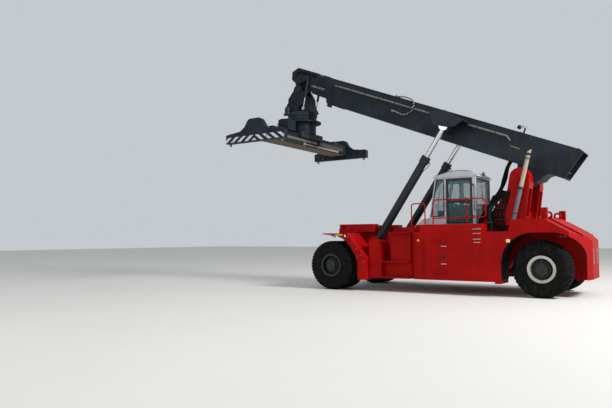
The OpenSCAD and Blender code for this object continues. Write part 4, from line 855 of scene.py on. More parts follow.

# Boom: flats along the seams of its sides, and a near-black plate with bars across its tail, painted shade
# for the dark inside of the hollow boom
FLAT_Y = (BOOM_Y, BOOM_Y + 0.012)
flats = [boom_box((0.9, 7.35), (BOOM_TOP - 0.03, BOOM_TOP - 0.005), FLAT_Y, 0.002),
         boom_box((4.15, 7.30), (BOOM_LOW + 0.005, BOOM_LOW + 0.03), FLAT_Y, 0.002),
         boom_box((-1.0, 1.2), (BOOM_LOW + 0.005, BOOM_LOW + 0.03), FLAT_Y, 0.002)]
piece("boom_weld_flats", "boom", SLATE, both(flats))
TAIL_Y = (-0.41, 0.41)
# Painted shade: a near-black plate closes the tail where the boom's inside is dark
tail_shade_frame = [boom_box((-1.02, -0.99), (BOOM_LOW + 0.03, BOOM_TOP - 0.03), TAIL_Y, 0.003)]
for v in (0.58, 0.83, 1.08):
    tail_shade_frame.append(boom_box((-1.08, -1.02), (v - 0.03, v + 0.03), TAIL_Y))
for y in (-0.27, 0.0, 0.27):
    tail_shade_frame.append(boom_box((-1.06, -1.02), (BOOM_LOW + 0.04, BOOM_TOP - 0.06), (y - 0.02, y + 0.02)))
piece("boom_tail_shade_frame", "boom", DARK, tail_shade_frame)

# Boom: lamp bracket on its top, grab handle on its side, red lamp under its mouth
LAMP_ARM = ((0.52, 1.40), (0.58, 1.47), (0.66, 1.49), (0.76, 1.49))
lamp_post = [boom_box((0.46, 0.62), (BOOM_TOP, BOOM_TOP + 0.012), (0.22, 0.38), 0.003),
             boom_box((0.50, 0.54), (BOOM_TOP + 0.012, BOOM_TOP + 0.16), (0.27, 0.33)),
             pipe([on_boom(u, v, 0.30) for u, v in LAMP_ARM], 0.011),
             pipe([on_boom(u, v, 0.34) for u, v in ((0.52, 1.32), (0.50, 1.45), (0.51, 1.53))], 0.006),
             turned([(0.035, 0), (0.062, 0.02), (0.066, 0.06), (0.060, 0.075)], on_boom(0.70, 1.47, 0.30),
                    (0.3, 0.5, -0.8))]
piece("boom_lamp_bracket", "boom", DARK, lamp_post)
grip = [(0.42, 0.80, 0), (0.42, 0.80, 0.045), (0.45, 0.804, 0.06), (0.67, 0.806, 0.06), (0.70, 0.808, 0.045),
        (0.70, 0.808, 0)]
grip = [pipe([on_boom(u, v, BOOM_Y + out) for u, v, out in grip], 0.010, spacing=0.012)]
piece("boom_grab_handles", "boom", PIPE, both(grip))
piece("boom_mouth_lamp", "boom", RED_LENS,
      [boom_box((7.62, 7.66), (0.27, 0.352), (0.24, 0.36), 0.012)])
piece("boom_mouth_lamp_case", "boom", DARK,
      [boom_box((7.50, 7.62), (0.255, 0.357), (0.225, 0.375), 0.01)])

# Head: caps on its pins, pipes over the nose and along the cheeks
HEAD_Y = 0.383
YOKE_PIN = (9.17, 0.51)
TOP_PIN = (8.79, 1.03)
caps = [turned([(0.125, 0), (0.125, 0.012), (0.11, 0.018)], on_boom(*YOKE_PIN, 0.345), LEFT, 32)]
caps += bolts_at(ring_of(on_boom(*YOKE_PIN, 0.345 + 0.016), 0.095, 6, "y"), LEFT, 0.022, 0.014)
caps.append(turned([(0.060, 0), (0.060, 0.008), (0.05, 0.012)], on_boom(*TOP_PIN, 0.485), LEFT))
caps += bolt(on_boom(*TOP_PIN, 0.495), LEFT, 0.03, 0.014)
piece("head_pin_caps", "inner_boom", DARK, both(caps))
nose = []
for v, r in ((1.235, 0.014), (1.195, 0.011), (1.155, 0.011)):
    drop = ((8.46, 0.0), (8.9, 0.0), (9.20, -0.01), (9.34, -0.05), (9.40, -0.13), (9.39, -0.24))
    nose.append(pipe([on_boom(u, v + dv, HEAD_Y + r) for u, dv in drop], r))
for u in (8.62, 9.05):
    nose.append(boom_box((u - 0.02, u + 0.02), (1.13, 1.26), (HEAD_Y, HEAD_Y + 0.029), 0.003))
piece("head_pipes", "inner_boom", HOSE, both(nose))
cheek = []
for v, rise in ((0.800, 0.0), (0.828, 0.012)):
    run = ((8.56, -0.02), (8.50, 0.0), (8.2, rise), (7.95, rise), (7.72, 0.0))
    cheek.append(pipe([on_boom(u, v + dv, HEAD_Y + 0.012) for u, dv in run], 0.0105, spacing=0.12))
for u in (8.42, 8.05):
    cheek.append(boom_box((u - 0.011, u + 0.011), (0.775, 0.860), (HEAD_Y, HEAD_Y + 0.027), 0.003))
piece("head_side_pipes", "inner_boom", PIPE, both(cheek))

# Yoke: bolts on the slewing plate where nothing stands on it, motor caps and hoses
SLEW_TOP = -0.900
MOTOR = (0.400, 0.460)


def clear_of_yoke(x, y):
    """True where the slewing plate is bare: off the forks, the motors and the rear web."""
    forks = abs(y) < 0.35 and -0.56 < x < 0.47
    motors = x > 0.22 and abs(y) > 0.28
    web = x < -0.18 and abs(y) < 0.45
    return not (forks or motors or web)


slewing = []
for spot in ring_of(hung(0, 0, SLEW_TOP), 0.525, 36):
    if clear_of_yoke(spot[0] - HEAD.x, spot[1]):
        slewing += bolt(spot, UP, 0.030, 0.022)
for sign in (1, -1):
    slewing += bolts_at(ring_of(hung(MOTOR[0], sign * MOTOR[1], -0.700), 0.088, 8), UP, 0.018, 0.012)
    lug = ring_of(hung(MOTOR[0], sign * MOTOR[1], SLEW_TOP), 0.130, 12)
    slewing += bolts_at([spot for spot in lug if spot[0] - HEAD.x > 0.36], UP, 0.020, 0.014)
piece("slewing_bolts", "yoke", STEEL, slewing)
yoke_hoses = []
for y, reach in ((0.24, 0.0), (0.17, 0.03), (-0.20, 0.0), (-0.26, 0.03)):
    fall = ((0.450, -0.42), (0.50 + reach, -0.43), (0.545 + reach, -0.50), (0.55 + reach, -0.64),
            (0.52 + reach, -0.76), (0.49, -0.86), (0.485, SLEW_TOP))
    yoke_hoses.append(pipe([hung(x, y, z) for x, z in fall], 0.014, spacing=0.02))
for sign in (1, -1):
    feed = ((0.40, 0.46, -0.615), (0.40, 0.47, -0.56), (0.33, 0.46, -0.50), (0.20, 0.40, -0.48),
            (0.10, 0.345, -0.50), (0.06, 0.335, -0.54))
    yoke_hoses.append(pipe([hung(x, sign * y, z) for x, y, z in feed], 0.013, spacing=0.015))
piece("yoke_hoses", "yoke", HOSE, yoke_hoses)

# Rotator: bolts under the disc, on its base and on its skirts
rotor = bolts_at(ring_of(hung(0, 0, -1.235), 0.650, 30), UP, 0.028, 0.018)
base_ring = ring_of(hung(0, 0, -1.700), 0.56, 16)
rotor += bolts_at([spot for spot in base_ring if abs(spot[0] - HEAD.x) < 0.43], UP, 0.028, 0.020)
for sign in (1, -1):
    for y in np.linspace(-0.68, 0.68, 9):
        rotor += bolt(hung(sign * 0.45, y, -1.865), (sign, 0, 0))
piece("rotator_bolts", "rotator", STEEL, rotor)

# Rotator: the valve box's cover with louvres and couplings, and the hoses to the drum
BOX_Y = 1.300
box = [plate(rect(HEAD.x - 0.20, HEAD.x + 0.20, HEAD.z - 1.66, HEAD.z - 1.33), BOX_Y, BOX_Y + 0.014, "y",
             0.006)]
for z in (-1.60, -1.57, -1.54, -1.51):
    slat = [(HEAD.x - 0.15, HEAD.z + z), (HEAD.x + 0.15, HEAD.z + z), (HEAD.x + 0.15, HEAD.z + z + 0.012),
            (HEAD.x - 0.15, HEAD.z + z + 0.016)]
    box.append(plate(slat, BOX_Y + 0.014, BOX_Y + 0.022, "y", 0.002))
for y in (-0.12, 0.0, 0.12):
    for z in (-1.42, -1.50, -1.58):
        box.append(turned([(0.022, 0), (0.022, 0.02), (0.016, 0.03), (0.016, 0.05)], hung(0.220, 1.05 + y, z),
                          AHEAD, 6))
piece("valve_box_cover", "rotator", SLATE, box)
drum_hoses = []
for x, z in ((-0.12, -1.38), (0.0, -1.40), (0.12, -1.42), (-0.06, -1.50), (0.06, -1.52)):
    run = ((0.50, z), (0.58, z + 0.01), (0.66, z - 0.03), (0.74, z - 0.02), (0.80, z))
    drum_hoses.append(pipe([hung(x, y, place) for y, place in run], 0.016, spacing=0.02))
for k, x in enumerate((-0.16, -0.08, 0.02, 0.12)):
    over = ((0, 0.95 + 0.05 * k, -1.300), (0, 0.96 + 0.05 * k, -1.265), (0.05, 1.05 + 0.03 * k, -1.245),
            (0.12, 1.16, -1.27), (0.14 - x, 1.26, -1.34), (0.24 - x, 1.30, -1.45), (0.245 - x, 1.28, -1.56),
            (0.22 - x, 1.27, -1.62))
    drum_hoses.append(pipe([hung(x + dx, y, z) for dx, y, z in over], 0.013, spacing=0.02))
piece("rotator_hoses", "rotator", HOSE, drum_hoses)

# Spreader frame: cover and extension cylinder on its rear face
FRAME_X, FRAME_TOP, FRAME_LOW = 0.330, -1.810, -2.210
COVER_X = -FRAME_X - 0.075
cover = plate(rect(-2.38, -0.60, -2.09, -1.955), HEAD.x + COVER_X, HEAD.x - FRAME_X, "x", 0.008)
cover = moved([cover], z=HEAD.z)
for y in np.arange(-2.25, -0.65, 0.2):
    cover += bolt(hung(COVER_X, y, -2.02), BEHIND, 0.018, 0.010)
piece("spreader_cover", "spreader", BROWN, cover)
RAM_X, RAM_Z = -FRAME_X - 0.055, -2.150
BARREL = [(0.034, 0.0), (0.042, 0.004), (0.042, 1.40), (0.050, 1.405), (0.050, 1.47), (0.030, 1.475)]
extension = [turned(BARREL, hung(RAM_X, -1.95, RAM_Z), LEFT, 20),
             turned([(0.022, 0.0), (0.022, 0.95), (0.020, 0.955)], hung(RAM_X, -0.48, RAM_Z), LEFT, 16)]
for y in (-1.98, 0.48):
    extension.append(block(hung(-FRAME_X - 0.11, y - 0.03, -2.20), hung(-FRAME_X, y + 0.03, -2.10), 0.006))
piece("extension_cylinder", "spreader", PIPE, extension)

# Spreader frame: pipes and stiffeners on both long faces, bolts on its wear plates
lines = []
for z in (-1.975, -2.005, -2.035):
    for face, start in ((1, -2.6), (-1, -0.5)):
        lines.append(pipe([hung(face * (FRAME_X + 0.016), y, z) for y in (start, 0.3, 1.2, 2.62)], 0.011,
                          spacing=0.2))
piece("spreader_pipes", "spreader", PIPE, lines)
stiff = []
for face in (1, -1):
    x0, x1 = sorted((face * FRAME_X, face * (FRAME_X + 0.010)))
    for y in np.arange(-2.45, 2.5, 0.7):
        stiff.append(block(hung(x0, y - 0.05, FRAME_LOW + 0.01), hung(x1, y + 0.05, -1.945), 0.003))
    x0, x1 = sorted((face * FRAME_X, face * (FRAME_X + 0.014)))
    for y in (-2.62, 2.62):
        stiff.append(block(hung(x0, y - 0.075, FRAME_LOW), hung(x1, y + 0.075, FRAME_TOP), 0.003))
for y in (-2.1, 2.1):
    for x in (-0.2, 0.0, 0.2):
        stiff += bolts_at([hung(x, y + 0.12, -1.720), hung(x, y - 0.12, -1.720)], UP, 0.034, 0.012)
piece("spreader_stiffeners", "spreader", SLATE, stiff)

# End beams: lock housings with their bolts, ribs on the inner face and a lamp
LOCK_X, LOCK_Y = 1.1295, 2.9265
BEAM_INNER_Y = 2.8265
for sign, side in SIDES:
    parts = []
    for x in (-LOCK_X, LOCK_X):
        housing = hung(x, sign * LOCK_Y, BEAM_LOW + 0.310)
        parts.append(turned([(0.075, 0), (0.075, 0.03), (0.055, 0.045), (0.02, 0.05)], housing, UP))
        parts += bolts_at(ring_of(housing, 0.092, 6), UP, 0.018, 0.012)
    inner = sign * BEAM_INNER_Y
    y0, y1 = sorted((inner, inner - sign * 0.012))
    for x in (-0.95, -0.62, 0.62, 0.95):
        parts.append(block(hung(x - 0.03, y0, BEAM_LOW + 0.01), hung(x + 0.03, y1, BEAM_LOW + 0.29), 0.003))
    piece("end_beam_fittings_" + side, "arm_" + side, SLATE, parts)
    lamp = turned([(0.026, 0), (0.026, 0.012), (0.020, 0.018)], hung(0.86, inner, BEAM_LOW + 0.07),
                  (0, -sign, 0), 20)
    piece("end_beam_lamps_" + side, "arm_" + side, AMBER_LENS, [lamp])

# Lift cylinders: gland ring and its bolts, and the banded pipe along each barrel
FOOT = np.array(at(-1.160, 0, 1.550))
EYE = np.array(on_boom(2.720, 0.790))
RAM_DIR = (EYE - FOOT) / np.linalg.norm(EYE - FOOT)
RAM_OFF = np.array([-RAM_DIR[2], 0, RAM_DIR[0]])
RAM_Y = 1.0
GLAND_D = 3.262


def on_ram(sign, d, off=0.0):
    """A place d along a lift cylinder from its foot pin, and off its centre line on the upper side."""
    return tuple(FOOT + (0, sign * RAM_Y, 0) + d * RAM_DIR + off * RAM_OFF)


GLAND = [(0.146, 0), (0.146, 0.014), (0.140, 0.016), (0.100, 0.016), (0.100, 0)]
CLIP = [(0.133, -0.014), (0.133, 0.014), (0.129, 0.016), (0.126, 0.016), (0.126, -0.016), (0.129, -0.016)]
BARREL_PIPE = ((3.16, 0.150), (3.17, 0.185), (3.12, 0.215), (3.00, 0.210), (2.90, 0.172), (2.80, 0.146),
               (2.4, 0.144), (1.4, 0.144), (0.6, 0.146), (0.50, 0.150))
for sign, side in SIDES:
    gland = [hoop(GLAND, on_ram(sign, GLAND_D), RAM_DIR)]
    _, u, v = across(RAM_DIR)
    for a in np.arange(8) * np.pi / 4:
        spot = np.array(on_ram(sign, GLAND_D + 0.014)) + 0.122 * (math.cos(a) * u + math.sin(a) * v)
        gland += bolt(tuple(spot), RAM_DIR, 0.024, 0.014)
    piece("gland_bolts_" + side, "lift_barrel_" + side, DARK, gland)
    parts = [pipe([on_ram(sign, d, off) for d, off in BARREL_PIPE], 0.011)]
    parts += [hoop(CLIP, on_ram(sign, d), RAM_DIR) for d in (2.6, 1.9, 1.2, 0.7)]
    parts.append(turned([(0.030, 0), (0.030, 0.03), (0.018, 0.035)], on_ram(sign, 3.16, 0.148), RAM_OFF, 6))
    piece("barrel_pipe_" + side, "lift_barrel_" + side, DARK, parts)

# Cab: its ends from the drive axle, the windscreen's lean and the panes of its door
CAB_FRONT, CAB_BACK, SCREEN_LEAN, EAVES_Z = 2.920, 4.470, 0.240, 3.600
DOOR_X, PANE_Z = (-4.305, -3.575), ((2.185, 2.800), (2.860, 3.495))
DOOR_LOCK_Z = 2.83


def screen_lean(solids):
    """Solids made upright on x = 0, leaned back with the windscreen: x = front - lean (z - deck) / rise."""
    out = []
    for points, faces in solids:
        points = points.copy()
        points[:, 0] += FRONT_AXLE_X - CAB_FRONT - SCREEN_LEAN * (points[:, 2] - DECK_Z) / (EAVES_Z - DECK_Z)
        out.append((points, faces))
    return out


SIDE_PANE = from_side(((-3.013, 2.37), (-3.44, 2.37), (-3.44, 3.54), (-3.21, 3.54)))
REAR_WALL_X = FRONT_AXLE_X - CAB_BACK
seals = both(band(SIDE_PANE, 0.014, 0.030, CAB_Y, CAB_Y + 0.007))
seals += band(from_side(rect(-4.32, -3.56, 2.70, 3.54)), 0.014, 0.030, -CAB_Y, -CAB_Y - 0.007)
seals += band(rect(-0.69, 0.69, 2.70, 3.54), 0.016, 0.034, REAR_WALL_X - 0.007, REAR_WALL_X, "x")
seals += screen_lean(band(rect(-0.71, 0.71, 2.33, 3.55), 0.016, 0.034, 0.0, 0.007, "x"))
piece("window_seals", "chassis", SEAL, seals)
door_seals = []
for z in PANE_Z:
    outline = from_side(rect(*DOOR_X, *z))
    door_seals += band(outline, 0.012, 0.026, CAB_Y, CAB_Y + 0.006)
    door_seals += band(outline, 0.012, 0.026, CAB_Y - 0.046, CAB_Y - 0.040)
door_seals.append(block(at(-3.70, CAB_Y, DOOR_LOCK_Z - 0.02), at(-3.60, CAB_Y + 0.008, DOOR_LOCK_Z + 0.02),
                        0.003))
piece("door_seals", "cab_door", SEAL, door_seals)
# Painted shade: a near-black board just inside the door's lower pane stands for the dim cab seen through it,
# with an armrest on it
shade_board_and_armrest = [plate(from_side(rect(-CAB_BACK + 0.150, -CAB_BACK + 0.910, 2.165, 2.700)), CAB_Y - 0.060,
                CAB_Y - 0.050),
          block(at(-CAB_BACK + 0.25, CAB_Y - 0.085, 2.60), at(-CAB_BACK + 0.62, CAB_Y - 0.060, 2.635), 0.006)]
piece("door_shade_board_and_armrest", "cab_door", TRIM, shade_board_and_armrest)

# Cab: a wiper on the windscreen and one on the rear pane
wiper = [turned([(0.030, 0), (0.030, 0.03), (0.018, 0.04)], (0.005, 0.0, 2.300), AHEAD, 20),
         pipe([(0.030, 0.0, 2.300), (0.034, 0.05, 2.55), (0.030, 0.12, 2.80), (0.020, 0.18, 3.05)], 0.008),
         block((0.008, 0.155, 2.72), (0.020, 0.170, 3.36), 0.003)]
piece("windscreen_wiper", "chassis", TRIM, screen_lean(wiper))
rear_wiper = [turned([(0.026, 0), (0.026, 0.02), (0.016, 0.03)], at(-CAB_BACK, 0.0, 2.66), BEHIND, 20),
              pipe([at(-CAB_BACK - 0.025, 0.0, 2.66), at(-CAB_BACK - 0.028, 0.08, 2.85),
                    at(-CAB_BACK - 0.022, 0.18, 3.10)], 0.007),
              block(at(-CAB_BACK - 0.020, 0.165, 2.82), at(-CAB_BACK - 0.008, 0.180, 3.36), 0.003)]
piece("rear_wiper", "chassis", TRIM, rear_wiper)

# Cab: beacon, work lamps, roof vent and rails, rear louvres and grab handles
BEACON = (-4.44, -0.16)
BEACON_FOOT = [(0.055, 0), (0.055, 0.012), (0.046, 0.020), (0.046, 0.030)]
BEACON_DOME = [(0.040, 0), (0.041, 0.03), (0.036, 0.055), (0.022, 0.068), (0.006, 0.072)]
piece("beacon_base", "chassis", TRIM, [turned(BEACON_FOOT, at(*BEACON, 3.700), UP, 28)])
piece("beacon_lens", "chassis", AMBER_LENS, [turned(BEACON_DOME, at(*BEACON, 3.730), UP, 28)])
LAMP_AIM = (1, 0, -0.25)
LAMP_CASE = [(0.012, -0.035), (0.030, -0.02), (0.036, 0.0), (0.037, 0.02), (0.034, 0.024)]
LAMP_FRONT = [(0.031, 0.022), (0.030, 0.028), (0.018, 0.031)]
lamp_cases, lamp_glass = [], []
for y in (0.50, -0.50):
    lamp_cases.append(turned(LAMP_CASE, at(-3.10, y, 3.690), LAMP_AIM, 20))
    lamp_cases.append(block(at(-3.13, y - 0.010, 3.64), at(-3.11, y + 0.010, 3.68), 0.003))
    lamp_glass.append(turned(LAMP_FRONT, at(-3.10, y, 3.690), LAMP_AIM, 20))
piece("work_lamp_cases", "chassis", TRIM, lamp_cases)
piece("work_lamp_glass", "chassis", CLEAR_LENS, lamp_glass)
roof = [block(at(-4.05, -0.35, 3.775), at(-3.72, 0.35, 3.783), 0.003)]
for y in np.arange(-0.30, 0.31, 0.05):
    roof.append(block(at(-4.02, y - 0.012, 3.783), at(-3.75, y + 0.012, 3.793), 0.003))
for y in (-0.76, 0.76):
    rail = ((-4.35, 3.745), (-4.10, 3.790), (-3.80, 3.800), (-3.45, 3.778))
    roof.append(pipe([at(x, y, z) for x, z in rail], 0.010))
piece("roof_vent_and_rails", "chassis", TRIM, roof)
louvres = []
for z in (2.25, 2.40, 2.55):
    for y in np.arange(-0.5, 0.51, 0.05):
        louvres.append(block(at(-CAB_BACK - 0.006, y - 0.018, z - 0.05), at(-CAB_BACK, y + 0.018, z + 0.05),
                             0.002))
piece("cab_rear_louvres", "chassis", CAB, louvres)
GRIP_Z = (2.55, 3.30)
handles = []
for x in (-3.47, -4.435):
    rise = ((0, GRIP_Z[0]), (0.05, GRIP_Z[0]), (0.062, GRIP_Z[0] + 0.03), (0.062, GRIP_Z[1] - 0.03),
            (0.05, GRIP_Z[1]), (0, GRIP_Z[1]))
    handles.append(pipe([at(x, CAB_Y + out, z) for out, z in rise], 0.011, 10, 0.02))
piece("cab_grab_handles", "chassis", TRIM, handles)
apron = plate(from_side(((-2.915, 2.092), (-2.505, 2.092), (-2.515, 2.135), (-2.70, 2.300), (-2.955, 2.318))),
              -0.740, 0.740, "y", 0.010)
piece("cab_apron", "chassis", CAB, [apron])

# Seat: stuffed pads with piping
CORNER = 0.42
PULL = 0.05
CHANNEL_DEPTH, CHANNEL_HALF = 0.22, 0.012


def full(value):
    """Cosine or sine drawn out to fuller corners: its size to the power of CORNER, with its sign."""
    return np.sign(value) * np.abs(value) ** CORNER


def cushion(centre, half, lean=0.0, channels=(), around=64, tall=24, crown=0.16):
    """A stuffed pad. For angles o and e: x = a C(e) C(o), y = b C(e) S(o), z = c S(e), where C and S are the
    full cosine and sine, so it stays full at its corners. Its sides pull in between them by 5 percent, the
    middle swells by the crown, and each channel presses a groove: z (1 - depth exp(-((y - y0) / half)^2))."""
    o = np.linspace(0, 2 * np.pi, around, endpoint=False)[None, :]
    e = np.linspace(-np.pi / 2 + 0.02, np.pi / 2 - 0.02, tall)[:, None]
    pull = 1 - PULL * np.abs(np.cos(2 * o)) * np.cos(e) ** 2
    x = half[0] * full(np.cos(e)) * full(np.cos(o)) * pull
    y = half[1] * full(np.cos(e)) * full(np.sin(o)) * pull
    middle = np.cos(np.pi * x / (2.4 * half[0])) * np.cos(np.pi * y / (2.4 * half[1]))
    z = half[2] * full(np.sin(e)) * (1 - crown + crown * middle)
    for place, along in channels:
        off = (x if along == "x" else y) - place
        z = z * (1 - CHANNEL_DEPTH * np.exp(-(off / CHANNEL_HALF) ** 2))
    c, s = math.cos(lean), math.sin(lean)
    return loft(np.stack([centre[0] + x * c + z * s, centre[1] + y, centre[2] - x * s + z * c], -1))


def piping(centre, half, lean=0.0, radius=0.006):
    """The sewn cord round a pad's middle line."""
    o = np.linspace(0, 2 * np.pi, 72)
    pull = 1 - PULL * np.abs(np.cos(2 * o))
    x, y = half[0] * full(np.cos(o)) * pull, half[1] * full(np.sin(o)) * pull
    c, s = math.cos(lean), math.sin(lean)
    return pipe(np.stack([centre[0] + x * c, centre[1] + y, centre[2] - x * s], -1), radius, spacing=0.02)


SEAT_X = -3.960
BACK_LEAN = math.radians(-96.5)
PADS = {"seat_cushion": (at(SEAT_X + 0.012, 0, 2.630), (0.245, 0.245, 0.070), 0.0,
                         ((-0.13, "y"), (0.13, "y"), (0.06, "x"))),
        "seat_back": (at(SEAT_X - 0.208, 0, 3.010), (0.315, 0.225, 0.050), BACK_LEAN,
                      ((-0.13, "y"), (0.13, "y"), (-0.10, "x"), (0.12, "x"))),
        "armrest_left": (at(SEAT_X, 0.305, 2.815), (0.158, 0.034, 0.026), 0.0, ()),
        "armrest_right": (at(SEAT_X, -0.305, 2.815), (0.158, 0.034, 0.026), 0.0, ())}
for name, (centre, half, lean, channels) in PADS.items():
    replaced = ("cab_seat",) if name == "seat_cushion" else ()
    pad = piece(name, "chassis", CLOTH,
                [cushion(centre, half, lean, channels), piping(centre, half, lean)], replaced)


# Cab interior
def seat_stand():
    """Armrest brackets, the control lever on its box, and the folds of the seat's bellows."""
    out = []
    for y in (0.250, -0.250):
        out.append(block(at(SEAT_X - 0.18, y - 0.018, 2.66), at(SEAT_X - 0.13, y + 0.018, 2.80), 0.006))
        near, far = sorted((y, y * 1.2))
        out.append(block(at(SEAT_X - 0.18, near, 2.775), at(SEAT_X - 0.10, far, 2.790)))
    out.append(block(at(SEAT_X + 0.10, -0.345, 2.84), at(SEAT_X + 0.16, -0.265, 2.87), 0.010))
    out.append(turned([(0.016, 0), (0.012, 0.03), (0.010, 0.08), (0.022, 0.10), (0.026, 0.14), (0.020, 0.17)],
                      at(SEAT_X + 0.13, -0.305, 2.87), (0.2, 0, 1), 16))
    for z in 2.20 + 0.045 * np.arange(7):
        out.append(block(at(SEAT_X - 0.19, -0.21, z), at(SEAT_X + 0.19, 0.21, z + 0.022), 0.008))
    return out


def cab_fixtures():
    """Display case and its stalk, two pedals, the header over the windscreen and the floor mat."""
    out = [block(at(-3.24, -0.42, 2.60), at(-3.215, -0.18, 2.76), 0.008),
           block(at(-3.23, -0.31, 2.55), at(-3.21, -0.29, 2.62))]
    for y in (-0.10, 0.06):
        out.append(block(at(-3.42, y, 2.17), at(-3.34, y + 0.07, 2.19), 0.006))
    out.append(block(at(-3.30, -0.55, 3.48), at(-3.27, 0.55, 3.56), 0.008))
    out.append(block(at(-4.40, -0.70, 2.152), at(-3.50, 0.70, 2.158), 0.002))
    return out


def cab_lining():
    """Dark lining of the walls, pillars and ceiling."""
    out = []
    skin = (CAB_Y - 0.058, CAB_Y - 0.051)
    far_skin = (-CAB_Y + 0.051, -CAB_Y + 0.058)
    for near, far in (skin, far_skin):
        out.append(plate(from_side(rect(-3.43, -3.06, 2.155, 2.345)), near, far, "y", 0.002))
        out.append(plate(from_side(rect(-3.512, -3.452, 2.155, 3.590)), near, far, "y", 0.002))
    out.append(plate(from_side(rect(-4.415, -3.452, 2.155, 2.68)), *far_skin, "y", 0.002))
    for start, end in (((-4.419, -0.722, 2.160), (-4.411, 0.722, 2.675)),
                       ((-3.060, -0.60, 2.160), (-3.050, 0.60, 2.300)),
                       ((-4.415, -0.722, 3.585), (-3.28, 0.722, 3.597)),
                       ((-4.419, -0.722, 2.675), (-4.411, -0.678, 3.585)),
                       ((-4.419, 0.678, 2.675), (-4.411, 0.722, 3.585))):
        out.append(block(at(*start), at(*end), 0.002))
    return out


piece("cab_fittings", "chassis", TRIM, seat_stand() + cab_fixtures() + cab_lining())
piece("display_glass", "chassis", SCREEN,
      [block(at(-3.2435, -0.41, 2.615), at(-3.2405, -0.19, 2.745), 0.001)])

# Body: rims of the rear wheel arches, weld flats and bolts
ARC = np.radians(np.arange(6, 91, 6))
TAIL_ARC = np.radians(np.arange(90, 121, 6))
ARCH = [(-5.455, 0.39), (-5.455, 0.93)]
ARCH += [(-6.35 + 0.9 * math.cos(a), 0.93 + 0.9 * math.sin(a)) for a in ARC]
ARCH += [(-6.60, 1.83)]
ARCH += [(-6.86 + 0.7 * math.cos(a), 1.13 + 0.7 * math.sin(a)) for a in TAIL_ARC]
seams = [pipe([at(x, BODY_Y + 0.001, z) for x, z in ARCH], 0.013, spacing=0.05)]
for (x0, z0), (x1, z1) in (((-5.40, 0.425), (-3.05, 0.470)), ((-5.25, 1.815), (-3.05, 1.850)),
                           ((-4.60, 0.47), (-4.56, 1.815)), ((-1.69, 0.43), (-1.31, 0.47))):
    seams.append(block(at(x0, BODY_Y, z0), at(x1, BODY_Y + 0.006, z1), 0.002))
for x in (-6.95, -6.55, -6.15, -5.75):
    seams += bolt(at(x, BODY_Y, 2.02 - max(0.0, (-6.65 - x)) * 0.4), LEFT, 0.026, 0.014)
for x in np.arange(-5.30, -3.1, 0.30):
    seams += bolt(at(x, BODY_Y + 0.005, 0.447), LEFT, 0.022, 0.012)
piece("body_seams", "chassis", RED, both(seams))

# Body: pale vent slots, door handles, dark slots on the fender, reflectors and marker lamps
VENT_X = -4.80
vents = []
for z, half in ((1.938, 0.12), (1.807, 0.12), (1.640, 0.11), (1.547, 0.10)):
    slot = from_side(((VENT_X - half, z - 0.012), (VENT_X + half, z - 0.012), (VENT_X + half, z + 0.010),
                      (VENT_X - half, z + 0.014)))
    vents.append(plate(slot, BODY_Y, BODY_Y + 0.010))
door_handles = [block(at(-3.885, BODY_Y, 1.415), at(-3.720, BODY_Y + 0.024, 1.446), 0.005),
                block(at(-3.880, BODY_Y, 0.890), at(-3.715, BODY_Y + 0.024, 0.921), 0.005)]
piece("body_vent_slots", "chassis", PIPE, vents + door_handles + mirrored(vents))
slots = [block(at(x - 0.035, BODY_Y - 0.001, 1.685), at(x + 0.035, BODY_Y + 0.004, 1.725), 0.002)
         for x in (-7.17, -7.07)]
piece("fender_slots", "chassis", DARK, both(slots))
reflector = turned([(0.042, 0), (0.042, 0.010), (0.034, 0.016)], at(-2.99, BODY_Y - 0.012, 1.605),
                   (0.15, 1, 0), 28)
piece("side_reflectors", "chassis", ORANGE_LENS, both([reflector]))
marker = block(at(-5.735, BODY_Y, 1.545), at(-5.625, BODY_Y + 0.022, 1.635), 0.010)
piece("side_marker_lamps", "chassis", MARKER_LENS, both([marker]))

# Service door: latch and folded rim
LATCH_PULL = ((0.016, 1.09), (0.045, 1.10), (0.045, 1.16), (0.016, 1.17))
latch = [block(at(-3.83, BODY_Y, 1.06), at(-3.76, BODY_Y + 0.016, 1.20), 0.006),
         pipe([at(-3.795, BODY_Y + out, z) for out, z in LATCH_PULL], 0.008, spacing=0.01)]
piece("service_door_latch", "service_door", DARK, latch)
door_rim = band(from_side(rect(-3.88, -3.15, 0.64, 1.58)), 0.0, 0.03, BODY_Y, BODY_Y + 0.005)
piece("service_door_rim", "service_door", RED, door_rim)

# Hood: louvred panel and hinges on top
hood = [block(at(-6.60, -0.56, HOOD_TOP), at(-6.04, 0.56, HOOD_TOP + 0.008), 0.003)]
for x in np.arange(-6.55, -6.08, 0.06):
    for y in (-0.27, 0.27):
        slat = from_side(((x, HOOD_TOP + 0.008), (x + 0.045, HOOD_TOP + 0.008),
                          (x + 0.030, HOOD_TOP + 0.026)))
        hood.append(plate(slat, y - 0.22, y + 0.22, "y", 0.002))
for y in (-0.75, 0.75):
    for x in (-6.50, -6.15):
        hood.append(turned([(0.014, -0.06), (0.014, 0.06)], at(x, y, HOOD_TOP + 0.014), AHEAD, 12))
        hood.append(block(at(x - 0.05, y - 0.05, HOOD_TOP), at(x + 0.05, y + 0.05, HOOD_TOP + 0.006), 0.002))
piece("hood_louvres", "chassis", RED, hood)

# Tail: grille between the lamps, and the bars that part each lamp
grille = band(rect(-0.17, 0.17, 0.85, 1.45), 0.0, 0.03, FRONT_AXLE_X + TAIL, FRONT_AXLE_X + TAIL + 0.012, "x")
for z in np.arange(0.90, 1.42, 0.05):
    grille.append(block(at(TAIL, -0.145, z), at(TAIL + 0.008, 0.145, z + 0.022), 0.002))
piece("tail_grille", "chassis", DARK, grille)
bars = [block(at(TAIL + 0.001, 0.222, z - 0.006), at(TAIL + 0.008, 0.498, z + 0.006), 0.002)
        for z in (1.03, 1.13, 1.23)]
piece("tail_lamp_bars", "chassis", TRIM, both(bars))


